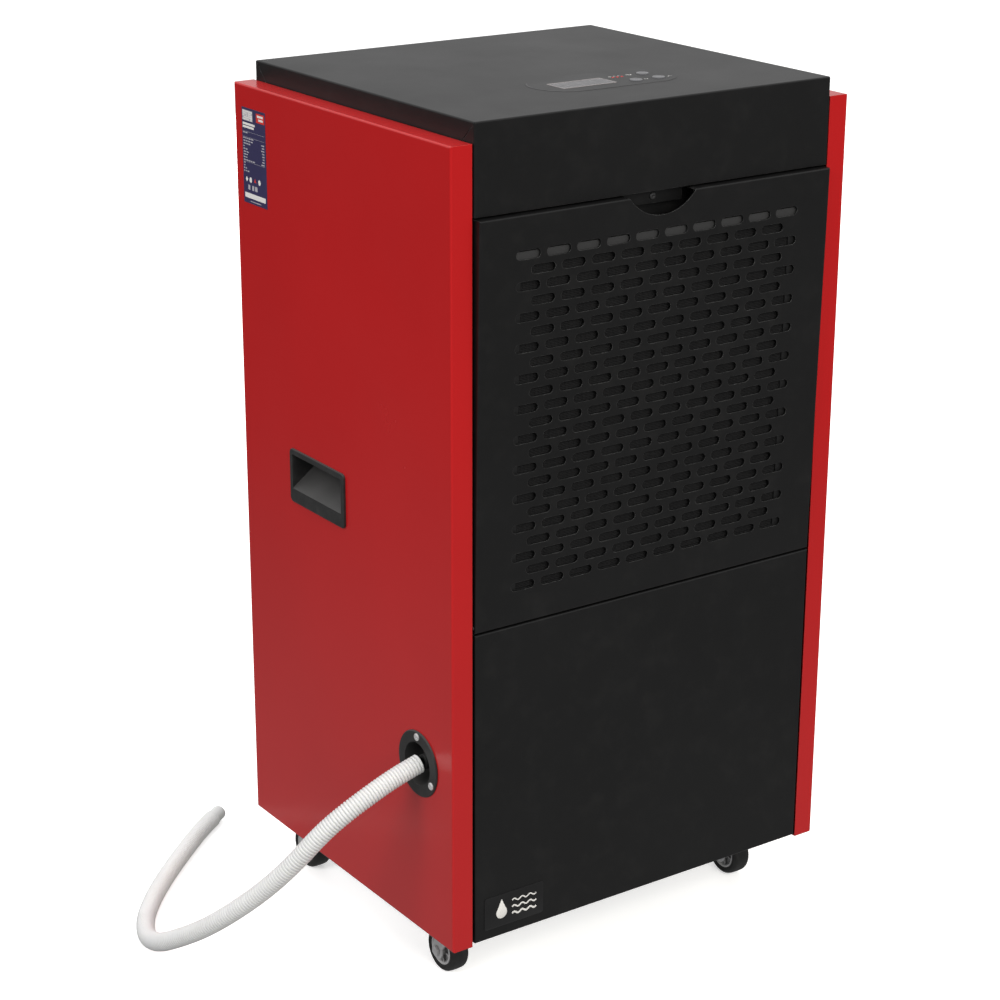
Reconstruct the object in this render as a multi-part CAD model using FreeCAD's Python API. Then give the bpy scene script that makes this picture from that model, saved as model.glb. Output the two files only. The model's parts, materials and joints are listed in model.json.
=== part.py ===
import FreeCAD, Part
import math
import os

# Commercial dehumidifier on four castors, with its drain hose lying beside it.
# Millimetres. +Z is up, +X to the right of someone facing the front, +Y to the back.
# The origin is on the floor under the middle of the object, its hose left out.
# In calls below, a depth is measured back from the black front face.

# --- driving dimensions -------------------------------------------------------------
overall_depth = 422.0       # nameplate to the tip of the cable gland
nameplate_thick = 0.8
front = nameplate_thick - overall_depth / 2     # y of the black front face
cabinet_half = 214.0        # half the width of the lid
cabinet_depth = 400.0
lid_top = 914.0
base_bottom = 74.0          # underside of the base pan, above the floor
sheet = 1.2                 # black sheet steel
bend = 1.6                  # outer radius of a folded edge

pan_out = 239.0             # outer face of a red side pan
pan_in = 215.5              # inner edge of its returns
pan_sheet = 1.0
pan_front = 1.3
pan_back = 402.6
pan_bottom = 70.6
pan_top = 894.0

door_half = 212.8           # half the width of the front panels
door_gap = 2.0
fascia_bottom = 825.5
cover_top = fascia_bottom - door_gap
cover_bottom = 414.0
cover_deep = 14.0
lower_top = cover_bottom - door_gap
lower_deep = 15.0

slot_long = 28.0
slot_high = 9.0
slot_pitch_x = 35.0
slot_pitch_z = 15.1
slot_top_z = 785.5
slot_rows = 23
notch_radius = 50.0
notch_centre_z = 853.0

frame_x = 212.7             # outer face of the inner side frames
frame_front = 16.0
frame_sheet = 1.2

hinge_deep = 5.0            # cover hinge axis, behind the front face
hinge_z = 419.0
hinge_pin_r = 2.0
cover_ajar = 1.02           # degrees that the cover stands open at rest
running_gap = 0.06          # radial clearance of the running fits
screw_r = 1.9

filter_half = 177.0
filter_low = 436.0
filter_high = 788.0
filter_bar = 13.0

handle_deep = 249.5         # middle of the recessed handles
handle_z = 497.7
handle_long = 108.0
handle_high = 58.4
handle_out = 2.6
grip_long = 96.8
grip_low = 483.0
grip_high = 521.0

drain_deep = 62.7           # middle of the drain outlet
drain_z = 258.6
drain_flange_r = 35.0
drain_mouth_r = 23.0
drain_screw_circle_r = 29.5

castor_x = 191.0
castor_front = 61.0
castor_back = 340.0
castor_trail = 22.0
wheel_r = 25.0
wheel_wide = 22.0
axle_r = 3.0

fan_z = 640.0
fan_r = 147.0
fan_hub_r = 40.0
shaft_r = 6.0
shelf_z = 431.0

button_places = (("power", 67.0, 116.0), ("up", 67.0, 90.0), ("down", 39.0, 90.0))
button_r = 6.6
button_travel = 0.8

hose_r = 10.0
cuff_r = 8.5
# The hose leaves the bowl, droops to the floor and turns back along the cabinet.
hose_route = (
    (-238, -147.5, 258.6), (-262, -146, 252), (-310, -142, 230), (-340, -131, 206),
    (-368, -114, 168), (-387, -91, 136), (-409, -62, 104), (-425, -29, 75),
    (-437, 8, 50), (-442, 47, 27), (-435, 89, 13), (-417, 128, 10),
    (-390, 163, 10), (-360, 195, 10), (-328, 226, 10), (-296, 255, 10),
    (-264, 283, 10), (-243, 298, 10),
)
cuff_long = 20.0

X_AXIS = FreeCAD.Vector(1, 0, 0)
Y_AXIS = FreeCAD.Vector(0, 1, 0)
Z_AXIS = FreeCAD.Vector(0, 0, 1)


# --- helpers ------------------------------------------------------------------------
def vec(x, y, z):
    return FreeCAD.Vector(x, y, z)


def block(x0, x1, d0, d1, z0, z1):
    """A box between two corners; d0 and d1 are depths behind the front face."""
    return Part.makeBox(x1 - x0, d1 - d0, z1 - z0, vec(x0, front + d0, z0))


def rod(radius, length, x, deep, z, axis):
    """A cylinder that starts at a point and runs along an axis."""
    return Part.makeCylinder(radius, length, vec(x, front + deep, z), axis)


def ring(outer_r, inner_r, length, x, deep, z, axis):
    return rod(outer_r, length, x, deep, z, axis).cut(rod(inner_r, length, x, deep, z, axis))


def join(shapes):
    """One solid out of several that touch."""
    whole = shapes[0].fuse(list(shapes[1:]))
    return whole.removeSplitter()


def round_edges(shape, radius, test):
    """Rounds the edges whose middle point passes a test of x, depth and z."""
    chosen = []
    for edge in shape.Edges:
        middle = edge.valueAt((edge.FirstParameter + edge.LastParameter) / 2)
        if test(middle.x, middle.y - front, middle.z):
            chosen.append(edge)
    return shape.makeFillet(radius, chosen)


def near(a, b):
    return abs(a - b) < 0.01


def polygon_prism(corners, direction):
    """A face through some corners, pushed along a vector."""
    closed = list(corners) + [corners[0]]
    return Part.Face(Part.makePolygon(closed)).extrude(direction)


def hexagon(across_flats, height, x, deep, z, axis):
    """A hexagonal nut or head."""
    radius = across_flats / math.sqrt(3)
    corners = []
    for k in range(6):
        angle = math.radians(60 * k + 30)
        a = radius * math.cos(angle)
        b = radius * math.sin(angle)
        if axis.z:
            corners.append(vec(x + a, front + deep + b, z))
        elif axis.y:
            corners.append(vec(x + a, front + deep, z + b))
        else:
            corners.append(vec(x, front + deep + a, z + b))
    return polygon_prism(corners, axis * height)


def obround(x, z, length, height, d0, d1):
    """A slot with round ends, lying along X and cut from depth d0 to d1."""
    r = height / 2
    s = length / 2 - r
    y = front + d0
    edges = [
        Part.LineSegment(vec(x - s, y, z + r), vec(x + s, y, z + r)).toShape(),
        Part.Arc(vec(x + s, y, z + r), vec(x + s + r, y, z), vec(x + s, y, z - r)).toShape(),
        Part.LineSegment(vec(x + s, y, z - r), vec(x - s, y, z - r)).toShape(),
        Part.Arc(vec(x - s, y, z - r), vec(x - s - r, y, z), vec(x - s, y, z + r)).toShape(),
    ]
    return Part.Face(Part.Wire(edges)).extrude(vec(0, d1 - d0, 0))


def turned(profile, origin, axis):
    """A solid of revolution from (radius, height) points about an axis."""
    sideways = X_AXIS if axis.z else Z_AXIS
    corners = [origin + sideways * r + axis * h for r, h in profile]
    face = Part.Face(Part.makePolygon(corners + [corners[0]]))
    return face.revolve(origin, axis, 360)


def mirrored(shape):
    return shape.mirror(vec(0, 0, 0), X_AXIS)


def pan_head(x, deep, z, axis, head_r=4.0, head_high=2.0, shank_r=screw_r, shank_long=6.0):
    """A pan-head screw; its head stands out along the axis from the given point."""
    head = rod(head_r, head_high, x, deep, z, axis)
    crown = [edge for edge in head.Edges if near(edge.CenterOfMass.dot(axis),
             vec(x, front + deep, z).dot(axis) + head_high)]
    head = head.makeFillet(min(1.3, head_high * 0.65), crown[:1])
    shank = Part.makeCylinder(shank_r, shank_long, vec(x, front + deep, z), axis * -1)
    top = vec(x, front + deep, z) + axis * head_high
    recess = Part.makeCylinder(head_r * 0.42, head_high * 0.45, top, axis * -1)
    return join([head, shank]).cut(recess)


def tube_along(points, radius, arc_radius=None):
    """A round solid on straight runs joined by tangent arcs.

    Each arc is as large as its two runs allow, or arc_radius if that is smaller."""
    edges = []
    radii = []
    start = points[0]
    for before, corner, after in zip(points, points[1:], points[2:]):
        back = (before - corner)
        ahead = (after - corner)
        turn = math.pi - back.getAngle(ahead)
        reach = 0.45 * min(back.Length, ahead.Length)
        if arc_radius:
            reach = min(reach, arc_radius * math.tan(turn / 2))
        bend_r = reach / math.tan(turn / 2)
        to_back = back * (1 / back.Length)
        to_ahead = ahead * (1 / ahead.Length)
        first = corner + to_back * reach
        last = corner + to_ahead * reach
        inward = to_back + to_ahead
        inward = inward * (1 / inward.Length)
        middle = corner + inward * (bend_r / math.cos(turn / 2) - bend_r)
        edges.append(Part.LineSegment(start, first).toShape())
        edges.append(Part.Arc(first, middle, last).toShape())
        start = last
        radii.append(bend_r)
    edges.append(Part.LineSegment(start, points[-1]).toShape())
    path = Part.Wire(edges)
    circle = Part.Wire([Part.makeCircle(radius, points[0], points[1] - points[0])])
    solid = path.makePipeShell([circle], True, False)
    return solid, radii, path.Length


def at_depth(points):
    """Points given as x, depth and z, as vectors."""
    return [vec(x, front + deep, z) for x, deep, z in points]


def save(name, shape):
    if not shape.isValid():
        print("NOT VALID", name)
    shape.exportStep("parts/" + name + ".step")
    print(name, "solids", len(shape.Solids), "volume", round(shape.Volume, 1))


# --- base, frame and sheet metal ----------------------------------------------------
def castor_places():
    """Name, x and depth of each swivel axis."""
    places = []
    for row, deep in (("front", castor_front), ("rear", castor_back)):
        places.append((row + "_left", -castor_x, deep))
        places.append((row + "_right", castor_x, deep))
    return places


def bolt_places(x, deep):
    """The four bolts of one castor plate."""
    return [(x + i * 16.0, deep + j * 23.0) for i in (-1, 1) for j in (-1, 1)]


compressor_x = 40.0
compressor_deep = 230.0
foot_circle_r = 88.0


def foot_places():
    places = []
    for k in range(3):
        angle = math.radians(90 + 120 * k)
        places.append((compressor_x + foot_circle_r * math.cos(angle),
                       compressor_deep + foot_circle_r * math.sin(angle)))
    return places


def base_pan():
    """Folded tray that everything stands on, with pressed ribs and bolt holes."""
    thick = 1.5
    half = cabinet_half - 0.1
    back = cabinet_depth - sheet
    outer = block(-half, half, frame_front, back, base_bottom, base_bottom + 30)
    inner = block(-frame_x, frame_x, frame_front + thick, back - thick,
                  base_bottom + thick, base_bottom + 31)
    pan = outer.cut(inner)
    holes = []
    for side in (-1, 1):
        x0, x1 = sorted((side * (frame_x - frame_sheet), side * frame_x))
        holes.append(block(x0, x1, frame_front - 1, back + 1, base_bottom + thick, base_bottom + 31))
    for name, x, deep in castor_places():
        for bx, bd in bolt_places(x, deep):
            holes.append(rod(2.6, 4, bx, bd, base_bottom - 1, Z_AXIS))
    for x, deep in foot_places():
        holes.append(rod(4.1, 4, x, deep, base_bottom - 1, Z_AXIS))
    return pan.cut(Part.makeCompound(holes))


def side_frame():
    """Right-hand inner side panel with the two channels that carry the side pan."""
    plate = block(frame_x - frame_sheet, frame_x, frame_front, cabinet_depth - sheet,
                  base_bottom + 1.5, lid_top - sheet)
    grip_hole = block(frame_x - 3, frame_x + 1, handle_deep - 53, handle_deep + 53, 474, 534)
    pipe_hole = rod(15, 4, frame_x - 3, drain_deep, drain_z, X_AXIS)
    plate = plate.cut(Part.makeCompound([grip_hole, pipe_hole]))
    parts = [plate]
    outer_x = pan_out - pan_sheet
    for d0 in (115.0, 325.0):
        shell = block(frame_x, outer_x, d0, d0 + 34, 110, 850)
        hollow = block(frame_x - 1, outer_x - sheet, d0 + sheet, d0 + 34 - sheet, 109, 851)
        parts.append(shell.cut(hollow))
    return join(parts)


def rear_screw_places():
    """Screws of the back: each x, depth of its seat, z and shank length."""
    places = []
    for side in (-1, 1):
        for z in (110, 300, 420, 860):
            places.append((side * 203, cabinet_depth, z, 1.2))
        places.append((side * 120, cabinet_depth, 896, 1.2))
        for z in (130, 480, 830):
            places.append((side * 227, pan_back, z, 1.0))
    for k in range(4):
        angle = math.radians(45 + 90 * k)
        places.append((159 * math.cos(angle), cabinet_depth + 2, fan_z + 159 * math.sin(angle), 3.2))
    return places


def rear_screw_holes():
    """Clearance for every screw of the back, to cut out of whatever they pass through."""
    return Part.makeCompound([rod(screw_r, 5, x, deep - 4, z, Y_AXIS)
                              for x, deep, z, length in rear_screw_places()])


def rear_panel():
    """Back sheet with the round air outlet and the hole for the cable gland."""
    sheet_back = block(-cabinet_half, cabinet_half, cabinet_depth - sheet, cabinet_depth,
                       base_bottom + 1.5, 879.5)
    outlet = rod(152, 4, 0, cabinet_depth - 3, fan_z, Y_AXIS)
    gland_hole = rod(8.1, 4, gland_x, cabinet_depth - 3, gland_z, Y_AXIS)
    cuts = [outlet, gland_hole]
    for row in range(6):
        cuts.append(obround(120, 120 + 12 * row, 90, 5, cabinet_depth - 3, cabinet_depth + 1))
    return sheet_back.cut(Part.makeCompound(cuts)).cut(rear_screw_holes())


def outlet_guard():
    """Round finger guard over the fan, rings held by eight spokes."""
    thick = 2.0
    plate = rod(166, thick, 0, cabinet_depth, fan_z, Y_AXIS)
    cuts = []
    for k in range(11):
        inner_r = 26 + 11.6 * k
        cuts.append(ring(inner_r + 8.4, inner_r, thick + 2, 0, cabinet_depth - 1, fan_z, Y_AXIS))
    openings = cuts[0].fuse(cuts[1:])
    spokes = []
    for k in range(4):
        spoke = block(-170, 170, cabinet_depth - 2, cabinet_depth + 4, fan_z - 2, fan_z + 2)
        spoke.rotate(vec(0, front, fan_z), Y_AXIS, 45 * k)
        spokes.append(spoke)
    openings = openings.cut(Part.makeCompound(spokes))
    return plate.cut(openings).cut(rear_screw_holes())


def shelf():
    """Divider between the compressor bay and the air path, with holes for the pipes."""
    plate = block(-frame_x + frame_sheet, frame_x - frame_sheet, frame_front + 1.6,
                  cabinet_depth - sheet, shelf_z, shelf_z + sheet)
    holes = [
        rod(9, 4, drain_pipe_x, drain_pipe_deep, shelf_z - 1, Z_AXIS),
        rod(10, 4, 200, 180, shelf_z - 1, Z_AXIS),
        rod(10, 4, 202, 56, shelf_z - 1, Z_AXIS),
    ]
    return plate.cut(Part.makeCompound(holes))


def front_rail():
    """Cross rail behind the cover's top edge, with the bracket seen through the notch."""
    half = frame_x - frame_sheet
    rail = block(-half, half, 18.4, 18.4 + sheet, 796, 860)
    top = block(-half, half, 18.4, 40, 860 - sheet, 860)
    plate = block(-36, 36, 10, 10 + sheet, 811, 840)
    tie = block(-36, 36, 10, 18.4 + sheet, 840 - sheet, 840)
    screw_hole = rod(screw_r, 4, 0, 9, 818, Y_AXIS)
    return join([rail, top, plate, tie]).cut(screw_hole)


def hinge_rail():
    """Cross rail between the two front panels, with the ears that carry the cover."""
    half = frame_x - frame_sheet
    plate = block(-half, half, frame_front + 0.4, frame_front + 0.4 + sheet, 400, shelf_z)
    foot = block(-half, half, frame_front + 0.4, 34, 400, 400 + sheet)
    parts = [plate, foot]
    for side in (-1, 1):
        x0 = side * 207.5 - 2
        nose = rod(3.5, 4, x0, hinge_deep, hinge_z, X_AXIS)
        arm = block(x0, x0 + 4, hinge_deep, frame_front + 1, hinge_z + 2, hinge_z + 7)
        parts.append(nose.fuse(arm))
    rail = join(parts)
    pin_holes = [rod(hinge_pin_r, 6, side * 207.5 - 3, hinge_deep, hinge_z, X_AXIS)
                 for side in (-1, 1)]
    return rail.cut(Part.makeCompound(pin_holes))


def cover_pins():
    """The two fixed pins that the inlet cover swings on."""
    pins = []
    for side in (-1, 1):
        start = 205.5 if side > 0 else -213.4
        pins.append(rod(hinge_pin_r, 7.9, start, hinge_deep, hinge_z, X_AXIS))
    return Part.makeCompound(pins)


def cover_magnets():
    """Round magnets on the front rail that hold the cover shut."""
    return Part.makeCompound([rod(6, 4, side * 150, 14.4, 815, Y_AXIS) for side in (-1, 1)])


def lower_panel():
    """Plain black front panel below the inlet cover."""
    outer = block(-door_half, door_half, 0, lower_deep, base_bottom, lower_top)
    outer = round_edges(outer, bend, lambda x, d, z: near(d, 0))
    inner = block(-door_half + sheet, door_half - sheet, sheet, lower_deep + 1,
                  base_bottom + sheet, lower_top - sheet)
    return outer.cut(inner)


def side_pan():
    """Right-hand red side pan, folded on all four edges."""
    outer = block(pan_in, pan_out, pan_front, pan_back, pan_bottom, pan_top)
    outer = round_edges(outer, 1.8, lambda x, d, z: near(x, pan_out))
    inner = block(pan_in - 1, pan_out - pan_sheet, pan_front + pan_sheet,
                  pan_back - pan_sheet, pan_bottom + pan_sheet, pan_top - pan_sheet)
    grip_hole = block(pan_out - 3, pan_out + 1, handle_deep - 53, handle_deep + 53, 474, 524)
    return outer.cut(inner).cut(grip_hole).cut(rear_screw_holes())


def side_pan_left():
    """The left pan also has the holes for the drain outlet and its screws."""
    holes = [rod(26, 6, -pan_out - 2, drain_deep, drain_z, X_AXIS)]
    for deep, z in drain_screw_places():
        holes.append(rod(screw_r, 6, -pan_out - 2, deep, z, X_AXIS))
    return mirrored(side_pan()).cut(Part.makeCompound(holes))


def lid():
    """Folded lid with its deep front fascia, mitred corners and control openings."""
    outer = block(-cabinet_half, cabinet_half, 0, cabinet_depth, fascia_bottom, lid_top)
    outer = round_edges(outer, bend, lambda x, d, z: near(z, lid_top) or
                        (near(d, 0) and not near(z, fascia_bottom)))
    inner = block(-cabinet_half + sheet, cabinet_half - sheet, sheet, cabinet_depth - sheet,
                  fascia_bottom - 1, lid_top - sheet)
    behind = block(-cabinet_half - 1, cabinet_half + 1, 15, cabinet_depth + 1,
                   fascia_bottom - 1, 880)
    shell = outer.cut(inner).cut(behind)
    lip = block(-cabinet_half + sheet, cabinet_half - sheet, sheet, 9,
                fascia_bottom, fascia_bottom + sheet)
    shell = join([shell, lip])
    seam = 0.5
    cuts = []
    for side in (-1, 1):
        x = side * (cabinet_half - 0.6)
        for d_low, d_high in ((34.0, 1.6), (cabinet_depth - 34.0, cabinet_depth - 1.6)):
            corners = at_depth([(x - 0.7, d_low - seam, 880), (x - 0.7, d_low + seam, 880),
                                (x - 0.7, d_high + seam, 912.4), (x - 0.7, d_high - seam, 912.4)])
            cuts.append(polygon_prism(corners, vec(1.4, 0, 0)))
    cuts.append(block(window_x0 - 0.2, window_x1 + 0.2, window_d0 - 0.2, window_d1 + 0.2,
                      lid_top - 3, lid_top + 1))
    for name, x, deep in button_places:
        cuts.append(rod(button_r + 0.35, 5, x, deep, lid_top - 3, Z_AXIS))
    for x, deep in light_places:
        cuts.append(rod(1.5, 5, x, deep, lid_top - 3, Z_AXIS))
    return shell.cut(Part.makeCompound(cuts)).cut(rear_screw_holes())


# --- controls -----------------------------------------------------------------------
window_x0, window_x1 = -49.0, 15.5
window_d0, window_d1 = 90.0, 118.5
light_places = ((28.0, 113.0), (33.5, 113.0), (39.0, 113.0))
overlay_thick = 0.3


def control_overlay():
    """Thin printed film round the window, lights and buttons, with round ends."""
    x0, x1 = -72.0, 96.0
    d0, d1 = 71.0, 148.0
    r = (d1 - d0) / 2
    deep = (d0 + d1) / 2
    film = block(x0 + r, x1 - r, d0, d1, lid_top, lid_top + overlay_thick)
    ends = [rod(r, overlay_thick, x, deep, lid_top, Z_AXIS) for x in (x0 + r, x1 - r)]
    film = join([film] + ends)
    cuts = [block(window_x0 - 0.2, window_x1 + 0.2, window_d0 - 0.2, window_d1 + 0.2,
                  lid_top - 1, lid_top + 2)]
    for name, x, d in button_places:
        cuts.append(rod(button_r + 0.35, 3, x, d, lid_top - 1, Z_AXIS))
    for x, d in light_places:
        cuts.append(rod(1.5, 3, x, d, lid_top - 1, Z_AXIS))
    return film.cut(Part.makeCompound(cuts))


def display_window():
    """Clear window over the display, a little proud of the lid."""
    pane = block(window_x0, window_x1, window_d0, window_d1, 910.5, lid_top + 0.7)
    return round_edges(pane, 0.5, lambda x, d, z: near(z, lid_top + 0.7))


def status_lights():
    """Light pipes that end flush with the film."""
    return Part.makeCompound([rod(1.4, 15.4, x, deep, 899.2, Z_AXIS) for x, deep in light_places])


def control_board():
    """Circuit board under the lid, with the display block and one switch per button."""
    board = block(-85, 100, 64, 146, 894, 895.6)
    parts = [board, block(window_x0, window_x1, window_d0, window_d1, 895, 910.5)]
    for name, x, deep in button_places:
        parts.append(block(x - 3, x + 3, deep - 3, deep + 3, 895, 898.2))
        parts.append(rod(1.7, 1.6, x, deep, 898, Z_AXIS))
    for x, deep in light_places:
        parts.append(rod(1.4, 4.2, x, deep, 895, Z_AXIS))
    for x in (-78, 93):
        for deep in (70, 140):
            parts.append(rod(3, 18.8, x, deep, 894, Z_AXIS))
    return join(parts)


def button(x, deep):
    """Round cap with a flange that keeps it under the lid, and its stem."""
    cap = rod(button_r, 3.2, x, deep, 912.2, Z_AXIS)
    cap = round_edges(cap, 1.1, lambda ex, d, z: z > 915.3)
    flange = rod(button_r + 1.6, 1.2, x, deep, 911.2, Z_AXIS)
    stem = rod(2, 11.0, x, deep, 900.5, Z_AXIS)
    return join([cap, flange, stem])


# --- inlet cover and filter ---------------------------------------------------------
def slot_cuts():
    """Staggered rows of slots, ten in one row and nine in the next."""
    cuts = []
    for row in range(slot_rows):
        count = 10 - row % 2
        z = slot_top_z - slot_pitch_z * row
        for k in range(count):
            x = (k - (count - 1) / 2) * slot_pitch_x
            cuts.append(obround(x, z, slot_long, slot_high, -1, sheet + 0.5))
    return Part.makeCompound(cuts)


def filter_clip(side, z0, z1):
    """An L-shaped tab that holds one edge of the filter frame."""
    wall = block(filter_half + 0.4, filter_half + 1.6, sheet - 0.2, 12.6, z0, z1)
    lip = block(filter_half - 5, filter_half + 1.6, 11.4, 12.6, z0, z1)
    clip = join([wall, lip])
    return clip if side > 0 else mirrored(clip)


def inlet_cover():
    """Slotted front cover: folded pan, finger notch, hinge holes and filter clips."""
    outer = block(-door_half, door_half, 0, cover_deep, cover_bottom, cover_top)
    outer = round_edges(outer, bend, lambda x, d, z: near(d, 0))
    inner = block(-door_half + sheet, door_half - sheet, sheet, cover_deep + 1,
                  cover_bottom + sheet, cover_top - sheet)
    parts = [outer.cut(inner)]
    for side in (-1, 1):
        x0, x1 = sorted((side * 60.0, side * 205.0))
        parts.append(block(x0, x1, cover_deep - sheet, cover_deep, 808, cover_top - 0.5))
        for z0 in (455, 600, 745):
            parts.append(filter_clip(side, z0, z0 + 22))
        parts.append(block(side * 100 - 10, side * 100 + 10, sheet - 0.2, 11, 434.6, 435.8))
    cover = join(parts)
    notch = rod(notch_radius, cover_deep + 2, 0, -1, notch_centre_z, Y_AXIS)
    holes = [rod(hinge_pin_r + running_gap, 6, side * 212.5 - 3, hinge_deep, hinge_z, X_AXIS)
             for side in (-1, 1)]
    return cover.cut(slot_cuts()).cut(Part.makeCompound(holes + [notch]))


def filter_frame():
    """Plastic frame behind the slots, with thin stiffening bars at its back."""
    d0, d1 = 3.2, 11.0
    outer = block(-filter_half, filter_half, d0, d1, filter_low, filter_high)
    inner = block(-filter_half + filter_bar, filter_half - filter_bar, d0 - 1, d1 + 1,
                  filter_low + filter_bar, filter_high - filter_bar)
    parts = [outer.cut(inner)]
    for x in (-82, 0, 82):
        parts.append(block(x - 2, x + 2, 8, d1, filter_low + 5, filter_high - 5))
    for z in (524, 612, 700):
        parts.append(block(-filter_half + 5, filter_half - 5, 8, d1, z - 2, z + 2))
    return join(parts)


def filter_mesh():
    """Filter cloth stretched in the frame."""
    half = filter_half - filter_bar
    return block(-half, half, 5.0, 6.0, filter_low + filter_bar, filter_high - filter_bar)


def ajar(shape):
    """The shape turned open about the cover's hinge, as the cover is left at rest."""
    return shape.rotated(vec(0, front + hinge_deep, hinge_z), X_AXIS, cover_ajar)


# --- handles and drain outlet -------------------------------------------------------
def handle():
    """Right-hand recessed handle: rim, sloped floor and a hollow to hook fingers into."""
    x_face = pan_out + handle_out
    d0 = handle_deep - handle_long / 2
    d1 = handle_deep + handle_long / 2
    z0 = handle_z - handle_high / 2
    z1 = handle_z + handle_high / 2
    rim = block(pan_out, x_face, d0, d1, z0, z1)
    rim = round_edges(rim, 5, lambda x, d, z: (near(d, d0) or near(d, d1)) and
                      (near(z, z0) or near(z, z1)))
    rim = round_edges(rim, 0.8, lambda x, d, z: near(x, x_face))
    g0 = handle_deep - grip_long / 2
    wall = 2.0
    reach = 34.6

    def pocket(grow, start_x):
        corners = at_depth([
            (start_x, g0 - grow, grip_low - grow),
            (start_x, g0 - grow, grip_high + grow),
            (pan_out - 4 + grow, g0 - grow, grip_high + grow),
            (pan_out - 7 + grow, g0 - grow, grip_high + 6 + grow),
            (x_face - reach - grow, g0 - grow, grip_high + 6 + grow),
            (x_face - reach - grow, g0 - grow, grip_low + 27 - grow),
        ])
        return polygon_prism(corners, vec(0, grip_long + 2 * grow, 0))

    shell = pocket(wall, pan_out + 0.5)
    skirt_cut = block(pan_out - pan_sheet - 1, pan_out + 0.6, g0 - 10, g0 + grip_long + 10,
                      grip_high + 3.0, grip_high + 20)
    shell = shell.cut(skirt_cut)
    return join([rim, shell]).cut(pocket(0.0, x_face + 1))


def drain_bowl():
    """Round outlet: screwed flange, tapered bowl and the nipple for both hoses."""
    floor_x = -219.0
    face_x = -pan_out - 2.0
    profile = [
        (5.0, face_x + 6.3), (8.0, face_x + 6.3), (8.0, floor_x - 2.0), (19.0, floor_x - 2.0),
        (drain_mouth_r, face_x), (drain_flange_r - 1.0, face_x), (drain_flange_r, face_x + 1.0),
        (drain_flange_r, -pan_out), (25.2, -pan_out), (21.0, floor_x), (7.0, floor_x),
        (7.0, -198.0), (5.0, -198.0),
    ]
    origin = vec(0, front + drain_deep, drain_z)
    corners = [origin + X_AXIS * x + Z_AXIS * r for r, x in profile]
    body = Part.Face(Part.makePolygon(corners + [corners[0]])).revolve(origin, X_AXIS, 360)
    holes = [rod(screw_r, 6, -243, d, z, X_AXIS) for d, z in drain_screw_places()]
    return body.cut(Part.makeCompound(holes))


def drain_screw_places():
    places = []
    for k in range(3):
        angle = math.radians(90 + 120 * k)
        places.append((drain_deep + drain_screw_circle_r * math.cos(angle),
                       drain_z + drain_screw_circle_r * math.sin(angle)))
    return places


def drain_screws():
    """Bright pan-head screws of the drain flange."""
    out = X_AXIS * -1
    return Part.makeCompound([pan_head(-pan_out - 2.0, d, z, out) for d, z in drain_screw_places()])


drain_pipe_x = -160.0
drain_pipe_deep = 60.0


def drain_tube():
    """Inner tube from the drip tray down to the outlet's nipple."""
    route = at_depth([
        (drain_pipe_x, drain_pipe_deep, 416), (drain_pipe_x, drain_pipe_deep, 330),
        (drain_pipe_x, drain_deep, 290), (drain_pipe_x - 6, drain_deep, 265),
        (drain_pipe_x - 20, drain_deep, drain_z), (-198, drain_deep, drain_z),
    ])
    tube, radii, length = tube_along(route, 8.0, 30.0)
    return tube


def drain_hose():
    """Free drain hose from the nipple in the bowl to its end cuff on the floor."""
    route = [vec(*point) for point in hose_route]
    tube, radii, length = tube_along(route, hose_r)
    section = math.pi * hose_r ** 2
    print("hose radii", [round(r) for r in radii])
    print("hose length", round(length, 1), "volume ratio", round(tube.Volume / (section * length), 4))
    return tube


def hose_cuff():
    """Smooth end of the hose, a little narrower than its ribs."""
    start = vec(*hose_route[-1])
    run = start - vec(*hose_route[-2])
    run = run * (1 / run.Length)
    outer = Part.makeCylinder(cuff_r, cuff_long, start, run)
    bore = Part.makeCylinder(cuff_r - 1.5, cuff_long - 3, start + run * cuff_long, run * -1)
    return outer.cut(bore)


# --- inside: air, cold and electric parts -------------------------------------------
tray_half = 192.0


def drip_tray():
    """Tray under the coils with its outlet stub."""
    wall = 2.5
    bottom = shelf_z + sheet
    outer = block(-tray_half, tray_half, 26, 150, bottom, bottom + 22)
    inner = block(-tray_half + wall, tray_half - wall, 26 + wall, 150 - wall,
                  bottom + wall, bottom + 23)
    stub = rod(8, bottom - 416 + 1, drain_pipe_x, drain_pipe_deep, 416, Z_AXIS)
    bore = rod(5.5, 30, drain_pipe_x, drain_pipe_deep, 415, Z_AXIS)
    return join([outer.cut(inner), stub]).cut(bore)


coil_bottom = shelf_z + sheet + 2.5
coil_top = 806.0
coil_half = 175.0
evaporator_deep = 56.0
condenser_deep = 112.0
coil_tube_r = 4.8
tube_low = 479.5            # lowest of the fourteen tubes of a coil
hairpin = 25.0              # spacing of the two tubes joined at the left end
crossing = 21.0             # spacing of the two joined at the right end
tube_pitch = hairpin + crossing
hairpins = 7
tube_high = tube_low + tube_pitch * (hairpins - 1) + hairpin


def coil(deep):
    """Serpentine of straight tubes through a row of fins, between two end plates."""
    end = coil_half + 1.5
    parts = [block(side * coil_half - 1.5, side * coil_half + 1.5, deep - 21, deep + 21,
                   coil_bottom, coil_top + 2) for side in (-1, 1)]
    fin_count = 36
    for k in range(fin_count):
        x = -165 + 330 * k / (fin_count - 1)
        parts.append(block(x - 0.6, x + 0.6, deep - 20, deep + 20, coil_bottom + 4, coil_top))
    for k in range(hairpins):
        for z in (tube_low + tube_pitch * k, tube_low + tube_pitch * k + hairpin):
            parts.append(rod(coil_tube_r, 2 * end, -end, deep, z, X_AXIS))
    return parts[0].fuse(parts[1:])


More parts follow.
